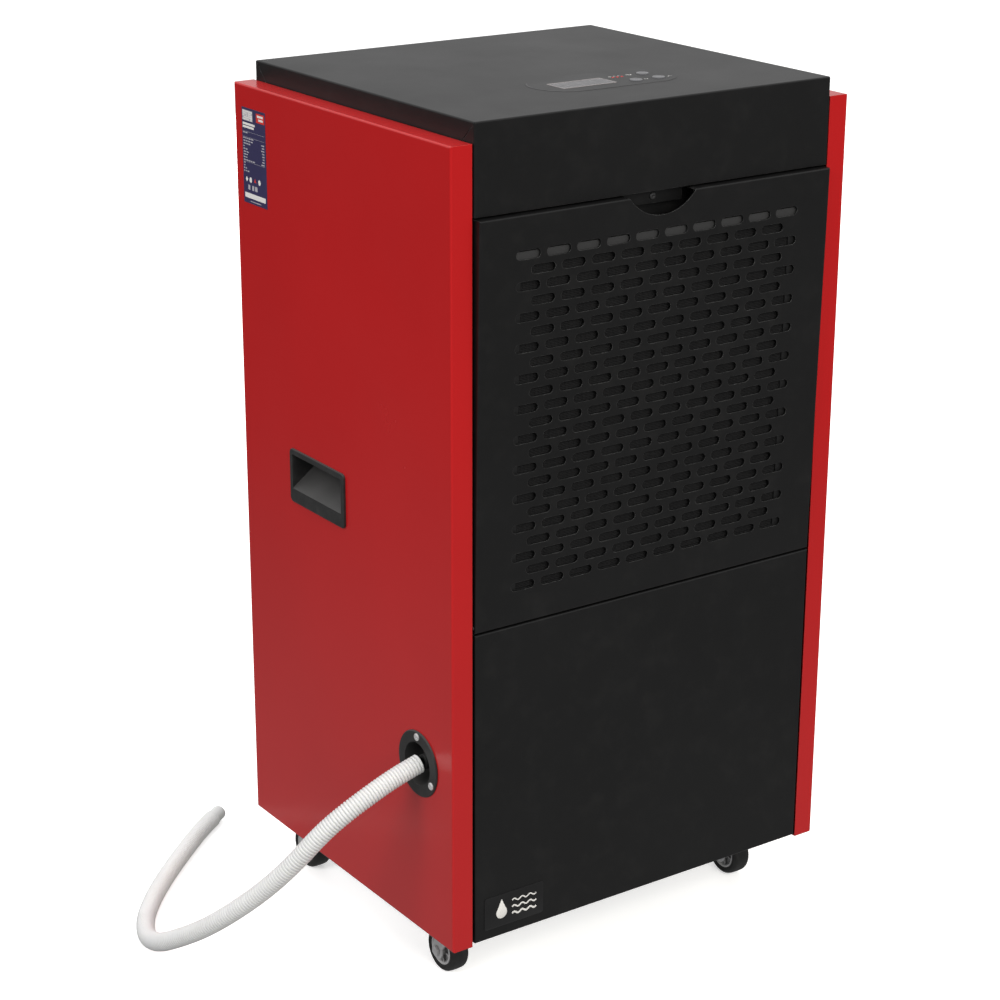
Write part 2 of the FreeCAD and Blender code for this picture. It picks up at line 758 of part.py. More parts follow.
def return_bend(side, deep, z, across):
    """Half a turn of tube at one end of a coil."""
    x = side * (coil_half + 1.5)
    whole = Part.makeTorus(across / 2, coil_tube_r, vec(x, front + deep, z), Y_AXIS, 0, 360)
    x0, x1 = sorted((x, x + side * 30))
    return whole.common(block(x0, x1, deep - 10, deep + 10, z - 20, z + 20))


def coil_bends():
    """Copper return bends on both ends of the two coils."""
    bends = []
    for deep in (evaporator_deep, condenser_deep):
        for k in range(hairpins):
            z = tube_low + tube_pitch * k + hairpin / 2
            bends.append(return_bend(-1, deep, z, hairpin))
        for k in range(hairpins - 1):
            z = tube_low + tube_pitch * k + hairpin + crossing / 2
            bends.append(return_bend(1, deep, z, crossing))
    return Part.makeCompound(bends)


def compressor():
    """Hermetic compressor on its three-legged plate, with the accumulator brazed beside it."""
    x, deep = compressor_x, compressor_deep
    can = rod(66, 218, x, deep, 112, Z_AXIS)
    can = round_edges(can, 26, lambda ex, d, z: near(z, 330))
    can = round_edges(can, 12, lambda ex, d, z: near(z, 112))
    plate = rod(60, 6, x, deep, 108, Z_AXIS)
    parts = [can, plate]
    for fx, fd in foot_places():
        parts.append(rod(16, 4, fx, fd, 108, Z_AXIS))
        arm = block(x, x + foot_circle_r, deep - 16, deep + 16, 108, 112)
        angle = math.degrees(math.atan2(fd - deep, fx - x))
        arm.rotate(vec(x, front + deep, 0), Z_AXIS, angle)
        parts.append(arm)
    tank = rod(26, 170, x + 96, deep, 140, Z_AXIS)
    tank = round_edges(tank, 12, lambda ex, d, z: near(z, 310) or near(z, 140))
    parts.append(tank)
    parts.append(block(x + 60, x + 80, deep - 12, deep + 12, 210, 230))
    parts.append(rod(10, 12, x, deep, 326, Z_AXIS))
    whole = join(parts)
    holes = [rod(4.1, 10, fx, fd, 104, Z_AXIS) for fx, fd in foot_places()]
    holes.append(rod(59, 210, x, deep, 107, Z_AXIS))
    holes.append(rod(21, 160, x + 96, deep, 139, Z_AXIS))
    return whole.cut(Part.makeCompound(holes))


def compressor_feet():
    """Rubber grommets under the compressor plate."""
    feet = []
    for x, deep in foot_places():
        profile = [(4.1, 0), (16, 0), (16, 10), (11, 14), (11, 20), (15, 24), (15, 32.5), (4.1, 32.5)]
        feet.append(turned(profile, vec(x, front + deep, base_bottom + 1.5), Z_AXIS))
    return Part.makeCompound(feet)


def hex_bolts():
    """Hexagon bolts and nuts of the castor plates and the compressor studs."""
    bolts = []
    for name, x, deep in castor_places():
        for bx, bd in bolt_places(x, deep):
            head = hexagon(8, 3.5, bx, bd, plate_bottom - 3.5, Z_AXIS)
            shank = rod(2.5, 12, bx, bd, plate_bottom - 0.5, Z_AXIS)
            nut = hexagon(8, 4, bx, bd, base_bottom + 1.5, Z_AXIS)
            bolts.append(join([head, shank, nut]))
    for x, deep in foot_places():
        stud = rod(4, 45, x, deep, base_bottom, Z_AXIS)
        nut = hexagon(13, 5, x, deep, 112, Z_AXIS)
        bolts.append(join([stud, nut]))
    return Part.makeCompound(bolts)


def refrigerant_pipes():
    """Discharge pipe, suction pipe and the liquid line with its drier and capillary."""
    end_x = coil_half + 1.5
    discharge = tube_along(at_depth([
        (compressor_x, compressor_deep, 338), (compressor_x, compressor_deep, 412),
        (200, compressor_deep, 412), (200, 180, 412), (200, 180, tube_high),
        (200, condenser_deep, tube_high), (end_x, condenser_deep, tube_high)]), 4.8, 14)[0]
    tank_x = compressor_x + 96
    suction = tube_along(at_depth([
        (end_x, evaporator_deep, tube_high), (202, evaporator_deep, tube_high),
        (202, evaporator_deep, 380), (202, 150, 380), (tank_x, compressor_deep, 380),
        (tank_x, compressor_deep, 310)]), 6.0, 14)[0]
    between = (evaporator_deep + condenser_deep) / 2
    liquid = tube_along(at_depth([
        (end_x, condenser_deep, tube_low), (200, condenser_deep, tube_low),
        (200, between, tube_low), (200, between, 515)]), 3.2, 10)[0]
    drier = rod(9, 70, 200, between, 514, Z_AXIS)
    capillary = tube_along(at_depth([
        (200, between, 583), (200, between, 612), (188, 72, 612), (188, 72, tube_low),
        (188, evaporator_deep, tube_low), (end_x, evaporator_deep, tube_low)]), 1.6, 6)[0]
    return Part.makeCompound([discharge, suction, join([liquid, drier, capillary])])


def fan_shroud():
    """Plate and venturi ring round the fan, with the cross that holds the motor."""
    half = frame_x - frame_sheet
    plate = block(-half, half, 300, 300 + sheet, shelf_z + sheet, 892)
    plate = plate.cut(rod(154, 4, 0, 299, fan_z, Y_AXIS))
    venturi = ring(155.5, 154, cabinet_depth - sheet - 300, 0, 300, fan_z, Y_AXIS)
    parts = [plate, venturi]
    parts.append(block(-170, 170, 296, 300, fan_z - 14, fan_z + 14))
    parts.append(block(-14, 14, 296, 300, fan_z - 170, fan_z + 170))
    parts.append(rod(50, 4, 0, 296, fan_z, Y_AXIS))
    shroud = join(parts)
    return shroud.cut(rod(14, 6, 0, 295, fan_z, Y_AXIS))


def fan_motor():
    """Fan motor with its shaft."""
    can = rod(52, 80, 0, 216, fan_z, Y_AXIS)
    can = round_edges(can, 8, lambda x, d, z: near(d, 216) or near(d, 296))
    seat = rod(30, 4, 0, 292, fan_z, Y_AXIS)
    shaft = rod(shaft_r, 62, 0, 290, fan_z, Y_AXIS)
    return join([can, seat, shaft])


def fan_wheel():
    """Axial fan: hub and five curved, pitched blades."""
    deep0, deep1 = 312.0, 356.0
    middle = (deep0 + deep1) / 2
    parts = [rod(fan_hub_r, deep1 - deep0, 0, deep0, fan_z, Y_AXIS)]
    chord_r = 120.0
    reach = ring(fan_r, fan_hub_r - 4, deep1 - deep0 - 2, 0, deep0 + 1, fan_z, Y_AXIS)
    for k in range(5):
        outer = rod(chord_r, fan_r, 0, middle, fan_z, Z_AXIS)
        inner = rod(chord_r - 2.4, fan_r, 0, middle, fan_z, Z_AXIS)
        shell = outer.cut(inner)
        shell.translate(vec(-chord_r * 0.72, chord_r * 0.68, 0))
        window = block(-46, 46, deep0 - 5, deep1 + 5, fan_z, fan_z + fan_r)
        blade = shell.common(window).common(reach)
        blade.rotate(vec(0, front, fan_z), Y_AXIS, 72 * k)
        parts.append(blade)
    wheel = join(parts)
    return wheel.cut(rod(shaft_r + running_gap, 60, 0, 300, fan_z, Y_AXIS))


electrics = (-205.0, -95.0, 300.0, 392.0, 190.0, 380.0)
gland_x = -150.0
gland_z = 140.0


def electrics_box():
    """Sheet box for the contactor and capacitor, open at the top."""
    x0, x1, d0, d1, z0, z1 = electrics
    outer = block(x0, x1, d0, d1, z0, z1)
    inner = block(x0 + 1.5, x1 - 1.5, d0 + 1.5, d1 - 1.5, z0 + 1.5, z1 + 1)
    capacitor = rod(20, 95, x0 + 30, d0 + 40, z0 + 1, Z_AXIS)
    relay = block(x0 + 58, x1 - 8, d0 + 15, d0 + 70, z0 + 1, z0 + 60)
    bracket = block(-frame_x + frame_sheet, x0 + 1, d0 + 20, d1 - 20, z0 + 40, z0 + 60)
    return join([outer.cut(inner), capacitor, relay, bracket])


def cable_gland():
    """Threaded gland for the mains cable, its bore left open."""
    out_deep = overall_depth - nameplate_thick
    thread = rod(8, 14, gland_x, 391, gland_z, Y_AXIS)
    flange = hexagon(24, 7, gland_x, cabinet_depth, gland_z, Y_AXIS)
    dome = rod(10.5, out_deep - 406, gland_x, 406, gland_z, Y_AXIS)
    dome = round_edges(dome, 3.5, lambda x, d, z: near(d, out_deep))
    nut = hexagon(22, 4, gland_x, cabinet_depth - sheet - 4, gland_z, Y_AXIS)
    body = join([thread, flange, dome, nut])
    return body.cut(rod(4.5, 40, gland_x, 388, gland_z, Y_AXIS))


def panel_screws():
    """Dark pan-head screws: notch bracket, rear panel, lid skirt and side pans."""
    screws = [pan_head(0, 10, 818, Y_AXIS * -1, 3.6, 1.6, screw_r, 6)]
    for x, deep, z, length in rear_screw_places():
        screws.append(pan_head(x, deep, z, Y_AXIS, shank_long=length))
    return Part.makeCompound(screws)


def rating_label():
    """Adhesive label near the top of the left pan."""
    return block(-pan_out - 0.25, -pan_out, 339.5, 387.5, 772, 871)


def nameplate():
    """Small plain badge plate in the lower left corner of the front."""
    plate = block(-202, -129, -nameplate_thick, 0, 85, 121)
    plate = round_edges(plate, 3.0, lambda x, d, z: (near(x, -202) or near(x, -129)) and
                        (near(z, 85) or near(z, 121)))
    return round_edges(plate, 0.3, lambda x, d, z: near(d, -nameplate_thick))


# --- castors ------------------------------------------------------------------------
plate_bottom = 71.5
crown_low = 64.0
crown_high = 66.4
fork_inner = wheel_wide / 2 + 1.2
fork_sheet = 2.0


def castor_plates():
    """Top plates with their races and king pins."""
    plates = []
    for name, x, deep in castor_places():
        plate = block(x - 22, x + 22, deep - 29, deep + 29, plate_bottom, base_bottom)
        corners = lambda ex, d, z: near(abs(ex - x), 22) and near(abs(d - deep), 29)
        plate = round_edges(plate, 3, corners)
        race = ring(15, 9, 2.5, x, deep, plate_bottom - 2.5, Z_AXIS)
        pin = rod(4, plate_bottom - 62, x, deep, 62, Z_AXIS)
        head = rod(7, 2.5, x, deep, 61.2, Z_AXIS)
        head = round_edges(head, 1, lambda ex, d, z: near(z, 61.2))
        whole = join([plate, race, pin, head])
        holes = [rod(2.6, 4, bx, bd, plate_bottom - 1, Z_AXIS) for bx, bd in bolt_places(x, deep)]
        plates.append(whole.cut(Part.makeCompound(holes)))
    return Part.makeCompound(plates)


def castor_fork(x, deep):
    """Swivelling fork, trailing to the back, with its riveted axle."""
    outer = fork_inner + fork_sheet
    crown = rod(19, crown_high - crown_low, x, deep, crown_low, Z_AXIS)
    race = ring(16, 8, 2.3, x, deep, crown_high, Z_AXIS)
    parts = [crown, race]
    for side in (-1, 1):
        x0 = x + (fork_inner if side > 0 else -outer)
        leg = polygon_prism(at_depth([
            (x0, deep - 12, crown_high), (x0, deep + 12, crown_high),
            (x0, deep + castor_trail + 8.5, wheel_r + 4), (x0, deep + castor_trail + 8.5, wheel_r - 3),
            (x0, deep + castor_trail - 8.5, wheel_r - 3), (x0, deep + castor_trail - 9, wheel_r + 4),
            (x0, deep - 12, crown_low - 6)]), X_AXIS * fork_sheet)
        toe = rod(8.5, fork_sheet, x0, deep + castor_trail, wheel_r - 1.5, X_AXIS)
        parts.append(leg.fuse(toe))
    half = outer + 3.2
    parts.append(rod(axle_r, 2 * half - 2, x - half + 1, deep + castor_trail, wheel_r, X_AXIS))
    for side in (-1, 1):
        x0 = x + (outer if side > 0 else -half)
        parts.append(hexagon(9.5, half - outer, x0, deep + castor_trail, wheel_r, X_AXIS))
    fork = join(parts)
    return fork.cut(rod(4 + running_gap, 12, x, deep, 60, Z_AXIS))


def wheel_centre(x, deep):
    """Dished plastic wheel centre with a bore for the axle."""
    rim = wheel_wide / 2 - 1.0
    boss = fork_inner - 0.3
    bore = axle_r + running_gap
    profile = [
        (bore, -boss), (6.5, -boss), (7.5, -6), (13.5, -6), (15.0, -rim), (17.5, -rim),
        (17.5, rim), (15.0, rim), (13.5, 6), (7.5, 6), (6.5, boss), (bore, boss),
    ]
    return turned(profile, vec(x, front + deep + castor_trail, wheel_r), X_AXIS)


def tyre(x, deep):
    """Solid tyre with rounded shoulders."""
    half = wheel_wide / 2
    y = deep + castor_trail
    band = ring(wheel_r, 17.5, wheel_wide, x - half, y, wheel_r, X_AXIS)
    is_shoulder = lambda ex, d, z: near(abs(ex - x), half) and \
        near(math.hypot(d - y, z - wheel_r), wheel_r)
    return round_edges(band, 5.0, is_shoulder)


# --- write every sub-part -----------------------------------------------------------
def main():
    os.makedirs("parts", exist_ok=True)
    frame_right = side_frame()
    handle_right = handle()
    nodes = {
        "base_pan": base_pan(),
        "side_frame_right": frame_right,
        "side_frame_left": mirrored(frame_right),
        "rear_panel": rear_panel(),
        "outlet_guard": outlet_guard(),
        "shelf": shelf(),
        "front_rail": front_rail(),
        "hinge_rail": hinge_rail(),
        "cover_pins": cover_pins(),
        "cover_magnets": cover_magnets(),
        "lower_panel": lower_panel(),
        "side_pan_right": side_pan(),
        "side_pan_left": side_pan_left(),
        "lid": lid(),
        "control_overlay": control_overlay(),
        "display_window": display_window(),
        "status_lights": status_lights(),
        "control_board": control_board(),
        "inlet_cover": ajar(inlet_cover()),
        "filter_frame": ajar(filter_frame()),
        "filter_mesh": ajar(filter_mesh()),
        "handle_right": handle_right,
        "handle_left": mirrored(handle_right),
        "drain_bowl": drain_bowl(),
        "drain_screws": drain_screws(),
        "drain_tube": drain_tube(),
        "drain_hose": drain_hose(),
        "hose_cuff": hose_cuff(),
        "drip_tray": drip_tray(),
        "evaporator": coil(evaporator_deep),
        "condenser": coil(condenser_deep),
        "coil_bends": coil_bends(),
        "compressor": compressor(),
        "compressor_feet": compressor_feet(),
        "hex_bolts": hex_bolts(),
        "refrigerant_pipes": refrigerant_pipes(),
        "fan_shroud": fan_shroud(),
        "fan_motor": fan_motor(),
        "fan_wheel": fan_wheel(),
        "electrics_box": electrics_box(),
        "cable_gland": cable_gland(),
        "panel_screws": panel_screws(),
        "rating_label": rating_label(),
        "nameplate": nameplate(),
        "castor_plates": castor_plates(),
    }
    for name, x, deep in button_places:
        nodes["button_" + name] = button(x, deep)
    for name, x, deep in castor_places():
        nodes["castor_fork_" + name] = castor_fork(x, deep)
        nodes["wheel_centre_" + name] = wheel_centre(x, deep)
        nodes["tyre_" + name] = tyre(x, deep)
    for name, shape in nodes.items():
        save(name, shape)
    print(len(nodes), "nodes")


main()
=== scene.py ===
import json
import math
import random

import bmesh
import bpy
from mathutils import Matrix, Vector


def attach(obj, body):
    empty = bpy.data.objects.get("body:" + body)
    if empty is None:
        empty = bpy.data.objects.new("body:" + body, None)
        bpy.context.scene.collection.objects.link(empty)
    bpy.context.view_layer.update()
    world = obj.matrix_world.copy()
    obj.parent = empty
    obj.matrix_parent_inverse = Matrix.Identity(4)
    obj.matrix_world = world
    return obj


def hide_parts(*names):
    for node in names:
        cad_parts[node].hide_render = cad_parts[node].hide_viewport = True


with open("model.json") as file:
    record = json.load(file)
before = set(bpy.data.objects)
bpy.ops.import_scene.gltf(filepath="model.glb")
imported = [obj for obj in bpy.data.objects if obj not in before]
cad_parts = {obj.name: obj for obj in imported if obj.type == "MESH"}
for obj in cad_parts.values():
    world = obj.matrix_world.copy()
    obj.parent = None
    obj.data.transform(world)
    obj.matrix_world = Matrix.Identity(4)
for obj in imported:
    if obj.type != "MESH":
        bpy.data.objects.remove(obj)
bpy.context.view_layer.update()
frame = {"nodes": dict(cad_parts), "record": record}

MM = 0.001
FRONT = -210.2              # y of the black front face; depths are measured back from it
RNG = random.Random(7)
X, Y, Z = Vector((1, 0, 0)), Vector((0, 1, 0)), Vector((0, 0, 1))
scene = bpy.context.scene
scene.view_settings.view_transform = "Standard"


# --- camera -------------------------------------------------------------------------
def add_camera():
    """The camera stands in front and to the left, looking a little down."""
    yaw, pitch, roll = 0.60621, -0.34260, 0.00355
    place = (-1.45203, -2.03856, 1.34035)
    forward = Vector((math.sin(yaw) * math.cos(pitch), math.cos(yaw) * math.cos(pitch),
                      math.sin(pitch)))
    level = Vector((math.cos(yaw), -math.sin(yaw), 0))
    upright = level.cross(forward)
    right = level * math.cos(roll) + upright * math.sin(roll)
    up = upright * math.cos(roll) - level * math.sin(roll)
    data = bpy.data.cameras.new("camera")
    data.sensor_width = 36
    data.lens = 88.857
    data.clip_end = 400
    camera = bpy.data.objects.new("camera", data)
    turn = Matrix((right, up, -forward)).transposed().to_4x4()
    camera.matrix_world = Matrix.Translation(place) @ turn
    scene.collection.objects.link(camera)
    scene.camera = camera


add_camera()


# --- mesh building ------------------------------------------------------------------
class Shape:
    """Vertices in millimetres and faces, each face with a material number."""

    def __init__(self):
        self.verts = []
        self.faces = []
        self.mats = []

    def add(self, verts, faces, mat=0):
        first = len(self.verts)
        self.verts += [tuple(v) for v in verts]
        self.faces += [tuple(i + first for i in face) for face in faces]
        self.mats += [mat] * len(faces)
        return self

    def take(self, bm, mat=0):
        bm.verts.index_update()
        self.add([v.co for v in bm.verts], [[v.index for v in f.verts] for f in bm.faces], mat)
        bm.free()
        return self


def make_piece(shape, name, body, materials, replaces=(), angle=32):
    """Turns a Shape into an object that rides on a body."""
    mesh = bpy.data.meshes.new(name)
    mesh.from_pydata([(x * MM, y * MM, z * MM) for x, y, z in shape.verts], [], shape.faces)
    mesh.polygons.foreach_set("material_index", shape.mats)
    mesh.polygons.foreach_set("use_smooth", [True] * len(mesh.polygons))
    for material in materials:
        mesh.materials.append(material)
    mesh.update()
    mesh.set_sharp_from_angle(angle=math.radians(angle))
    piece = bpy.data.objects.new(name, mesh)
    scene.collection.objects.link(piece)
    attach(piece, body)
    if replaces:
        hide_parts(*replaces)
    return piece


def across(axis):
    """Two unit vectors square to an axis and to each other."""
    axis = axis.normalized()
    helper = Z if abs(axis.z) < 0.9 else X
    side = helper.cross(axis).normalized()
    return side, axis.cross(side)


def lathe(shape, profile, origin, axis, segments=48, mat=0, closed=False):
    """Revolves (radius, height) points about an axis; a radius of 0 closes to a point."""
    side, other = across(axis)
    axis = axis.normalized()
    origin = Vector(origin)
    rings = []
    verts = []
    for radius, height in profile:
        if radius < 1e-6:
            rings.append([len(verts)] * segments)
            verts.append(origin + axis * height)
            continue
        ring = []
        for k in range(segments):
            a = 2 * math.pi * k / segments
            ring.append(len(verts))
            verts.append(origin + axis * height
                         + (side * math.cos(a) + other * math.sin(a)) * radius)
        rings.append(ring)
    faces = []
    pairs = list(zip(rings, rings[1:]))
    if closed:
        pairs.append((rings[-1], rings[0]))
    for low, high in pairs:
        for k in range(segments):
            n = (k + 1) % segments
            corners = []
            for i in (low[k], low[n], high[n], high[k]):
                if i not in corners:
                    corners.append(i)
            if len(corners) > 2:
                faces.append(corners)
    return shape.add(verts, faces, mat)


def rounded_box(shape, low, high, radius=0.6, steps=2, mat=0):
    """A box with rounded edges."""
    bm = bmesh.new()
    bmesh.ops.create_cube(bm, size=1.0)
    low, high = Vector(low), Vector(high)
    for v in bm.verts:
        v.co = Vector([(low[i] + high[i]) / 2 + v.co[i] * (high[i] - low[i]) for i in range(3)])
    if radius > 0:
        bmesh.ops.bevel(bm, geom=list(bm.edges), offset=radius, segments=steps, profile=0.5,
                        affect="EDGES")
    return shape.take(bm, mat)


def slab(shape, outline, push, radius=0.0, mat=0):
    """A flat outline of points pushed along a vector, its edges rounded if asked."""
    bm = bmesh.new()
    face = bm.faces.new([bm.verts.new(p) for p in outline])
    grown = bmesh.ops.extrude_face_region(bm, geom=[face])
    moved = [g for g in grown["geom"] if isinstance(g, bmesh.types.BMVert)]
    bmesh.ops.translate(bm, verts=moved, vec=push)
    bmesh.ops.recalc_face_normals(bm, faces=list(bm.faces))
    if radius > 0:
        flat = push.normalized()
        rims = [e for e in bm.edges
                if abs((e.verts[0].co - e.verts[1].co).normalized().dot(flat)) < 0.5]
        bmesh.ops.bevel(bm, geom=rims, offset=radius, segments=2, profile=0.5, affect="EDGES")
    return shape.take(bm, mat)


def rod_between(shape, start, end, radius, segments=16, mat=0):
    """A round rod with slightly broken end edges."""
    start, end = Vector(start), Vector(end)
    run = end - start
    edge = min(radius * 0.3, run.length * 0.2)
    profile = [(0, 0), (radius - edge, 0), (radius, edge), (radius, run.length - edge),
               (radius - edge, run.length), (0, run.length)]
    return lathe(shape, profile, start, run, segments, mat)


def torus(shape, centre, axis, ring_r, wire_r, segments=96, sides=10):
    """A closed ring of round wire."""
    profile = [(ring_r + wire_r * math.cos(2 * math.pi * k / sides),
                wire_r * math.sin(2 * math.pi * k / sides)) for k in range(sides)]
    return lathe(shape, profile, centre, axis, segments, closed=True)


def tube_through(shape, points, radii, segments=24):
    """A tube whose rings follow points, each with its own radius; its ends stay open."""
    verts = []
    faces = []
    side = None
    for k, point in enumerate(points):
        ahead = points[min(k + 1, len(points) - 1)] - points[max(k - 1, 0)]
        ahead.normalize()
        if side is None:
            side = across(ahead)[0]
        side = (side - ahead * side.dot(ahead)).normalized()
        other = ahead.cross(side)
        for j in range(segments):
            a = 2 * math.pi * j / segments
            verts.append(point + (side * math.cos(a) + other * math.sin(a)) * radii[k])
    for k in range(len(points) - 1):
        for j in range(segments):
            n = (j + 1) % segments
            faces.append((k * segments + j, k * segments + n,
                          (k + 1) * segments + n, (k + 1) * segments + j))
    return shape.add(verts, faces)


def cross_screw(shape, seat, axis, radius=4.0, high=2.0):
    """A pan head with a pressed cross recess; the seat is the middle of its underside."""
    side, other = across(axis)
    axis = axis.normalized()
    seat = Vector(seat)
    turn = RNG.uniform(0, math.pi / 2)
    rings = 13
    around = 40
    verts = [seat + axis * (high * 0.42)]
    faces = []
    for i in range(1, rings + 1):
        t = i / rings
        r = radius * t
        height = high * math.sqrt(max(0.0, 1 - (t * 0.93) ** 3.2))
        for k in range(around):
            a = 2 * math.pi * k / around
            u = abs(r * math.cos(a + turn))
            v = abs(r * math.sin(a + turn))
            slot_width = radius * 0.13
            inside = min(u, v) < slot_width and max(u, v) < radius * 0.55
            drop = high * 0.5 * (1 - max(u, v) / (radius * 0.62)) if inside else 0.0
            verts.append(seat + axis * (height - max(drop, 0.0))
                         + (side * math.cos(a) + other * math.sin(a)) * r)
    base = len(verts)
    for k in range(around):
        a = 2 * math.pi * k / around
        verts.append(seat + (side * math.cos(a) + other * math.sin(a)) * radius)
    for k in range(around):
        n = (k + 1) % around
        faces.append((0, 1 + k, 1 + n))
        for i in range(rings - 1):
            low = 1 + i * around
            high_ring = low + around
            faces.append((low + k, high_ring + k, high_ring + n, low + n))
        last = 1 + (rings - 1) * around
        faces.append((last + k, base + k, base + n, last + n))
    faces.append(tuple(base + k for k in reversed(range(around))))
    return shape.add(verts, faces)


# --- materials ----------------------------------------------------------------------
class Nodes:
    """Short ways to add and link shader nodes."""

    def __init__(self, name):
        self.material = bpy.data.materials.new(name)
        self.material.use_nodes = True
        self.tree = self.material.node_tree
        self.shader = self.tree.nodes["Principled BSDF"]
        self.place = self.tree.nodes.new("ShaderNodeTexCoord").outputs["Object"]

    def node(self, kind, inputs=(), **settings):
        made = self.tree.nodes.new("ShaderNode" + kind)
        for key, value in settings.items():
            setattr(made, key, value)
        for key, value in dict(inputs).items():
            if isinstance(value, bpy.types.NodeSocket):
                self.tree.links.new(value, made.inputs[key])
            else:
                made.inputs[key].default_value = value
        return made

    def noise(self, scale, detail=3.0, rough=0.55, stretch=None):
        place = self.place
        if stretch:
            place = self.node("Mapping", {"Vector": place, "Scale": stretch}).outputs["Vector"]
        made = self.node("TexNoise", {"Vector": place, "Scale": scale, "Detail": detail,
                                      "Roughness": rough})
        return made.outputs["Fac"]

    def cells(self, scale, out="Distance"):
        made = self.node("TexVoronoi", {"Vector": self.place, "Scale": scale})
        return made.outputs[out]

    def remap(self, value, low, high, to_low, to_high):
        made = self.node("MapRange", {"Value": value, "From Min": low, "From Max": high,
                                      "To Min": to_low, "To Max": to_high})
        return made.outputs["Result"]

    def maths(self, operation, a, b=0.0):
        return self.node("Math", {0: a, 1: b}, operation=operation).outputs[0]

    def blend(self, factor, a, b):
        made = self.node("Mix", data_type="RGBA")
        for key, value in ((0, factor), (6, a), (7, b)):
            if isinstance(value, bpy.types.NodeSocket):
                self.tree.links.new(value, made.inputs[key])
            else:
                made.inputs[key].default_value = value
        return made.outputs[2]

    def bump(self, height, strength, distance, normal=None):
        inputs = {"Height": height, "Strength": strength, "Distance": distance}
        if normal is not None:
            inputs["Normal"] = normal
        return self.node("Bump", inputs).outputs["Normal"]

    def edges(self, radius):
        """The rounded normal, and how far it leans away from the flat one."""
        rounded = self.node("Bevel", {"Radius": radius}, samples=4).outputs["Normal"]
        flat = self.node("NewGeometry").outputs["Normal"]
        dot = self.node("VectorMath", {0: rounded, 1: flat}, operation="DOT_PRODUCT")
        return rounded, self.remap(dot.outputs["Value"], 0.995, 0.80, 0.0, 1.0)

    def to(self, socket, value):
        if isinstance(value, bpy.types.NodeSocket):
            self.tree.links.new(value, self.shader.inputs[socket])
        else:
            self.shader.inputs[socket].default_value = value


def shade(colour, factor):
    """A colour made lighter or darker, with its alpha."""
    return (colour[0] * factor, colour[1] * factor, colour[2] * factor, 1.0)


def surface(name, colour, rough, metal=0.0, specular=0.5, mottle=(6.0, 0.06),
            rough_vary=(9.0, 0.05), wave=None, grain=(1400.0, 0.25, 0.00012), edge=0.0006,
            edge_wear_and_highlight=None, coat=0.0, alpha=None, stretch=None, dust=None, painted_light_by_facing=None, painted_recess_shade=None,
            painted_light_above=None):
    """A painted, moulded or metal finish: colour drift, uneven gloss, texture and soft edges,
    with painted light and shade in its colour where asked.

    mottle, rough_vary and dust are (scale, amount); wave and grain are (scale, strength,
    depth); edge is the radius that edges are rounded to; worn is (colour, amount) along
    edges, partly edge wear and partly a painted highlight; lying is the colour of faces
    that look up, painted light and shade that sets them apart from the other faces; grime
    is (reach, amount) of painted shade in recesses; faded is (height, colour) of painted
    light on the part above a height."""
    n = Nodes(name)
    drift = n.noise(mottle[0], 4.0, stretch=stretch)
    factor = n.remap(drift, 0.32, 0.68, 0.0, 1.0)
    tone = n.blend(factor, shade(colour, 1 - mottle[1]), shade(colour, 1 + mottle[1]))
    rounded, lean = n.edges(edge)
    # Edge wear and painted highlight together: another colour along edges where the rounded normal
    # leans away, broken up by noise.
    if edge_wear_and_highlight:
        wear_and_highlight_on_edges = n.maths("MULTIPLY", lean, n.remap(n.noise(120.0, 5.0), 0.42, 0.62, 0.25, 1.0))
        tone = n.blend(n.maths("MULTIPLY", wear_and_highlight_on_edges, edge_wear_and_highlight[1]), tone, (*edge_wear_and_highlight[0], 1.0))
    if dust:
        settled = n.remap(n.noise(dust[0], 6.0, 0.7), 0.5, 0.8, 0.0, dust[1])
        tone = n.blend(settled, tone, (0.35, 0.33, 0.31, 1.0))
    # Painted light and shade: faces that look up take one colour and the other faces another, by
    # which way each faces the light.
    if painted_light_by_facing:
        normal = n.node("NewGeometry").outputs["Normal"]
        up = n.node("SeparateXYZ", {"Vector": normal}).outputs["Z"]
        flat = n.blend(factor, shade(painted_light_by_facing, 1 - mottle[1]), shade(painted_light_by_facing, 1 + mottle[1]))
        tone = n.blend(n.remap(up, 0.3, 0.9, 0.0, 1.0), tone, flat)
    # Painted light: the part above a height takes a lighter colour, as if lit from above.
    if painted_light_above:
        high = n.node("SeparateXYZ", {"Vector": n.place}).outputs["Z"]
        tone = n.blend(n.remap(high, painted_light_above[0] - 0.001, painted_light_above[0], 0.0, 1.0), tone, (*painted_light_above[1], 1.0))
    # Painted shade: recesses found by ambient occlusion are darkened towards black.
    if painted_recess_shade:
        open_sky = n.node("AmbientOcclusion", {"Distance": painted_recess_shade[0]}, samples=8).outputs["AO"]
        tone = n.blend(n.remap(open_sky, 0.35, 0.8, painted_recess_shade[1], 0.0), tone, (0.02, 0.02, 0.02, 1.0))
    n.to("Base Color", tone)
    gloss = n.noise(rough_vary[0], 5.0, 0.6, stretch=stretch)
    smoothest, roughest = max(0.02, rough - rough_vary[1]), rough + rough_vary[1]
    n.to("Roughness", n.remap(gloss, 0.3, 0.7, smoothest, roughest))
    normal = rounded
    if wave:
        normal = n.bump(n.noise(wave[0], 1.0, 0.4), wave[1], wave[2], normal)
    if grain:
        normal = n.bump(n.noise(grain[0], 2.0, 0.6, stretch=stretch), grain[1], grain[2], normal)
    n.to("Normal", normal)
    n.to("Metallic", metal)
    n.to("Specular IOR Level", specular)
    n.to("Coat Weight", coat)
    n.to("Coat Roughness", 0.1)
    if alpha is not None:
        n.to("Alpha", alpha)
    return n.material


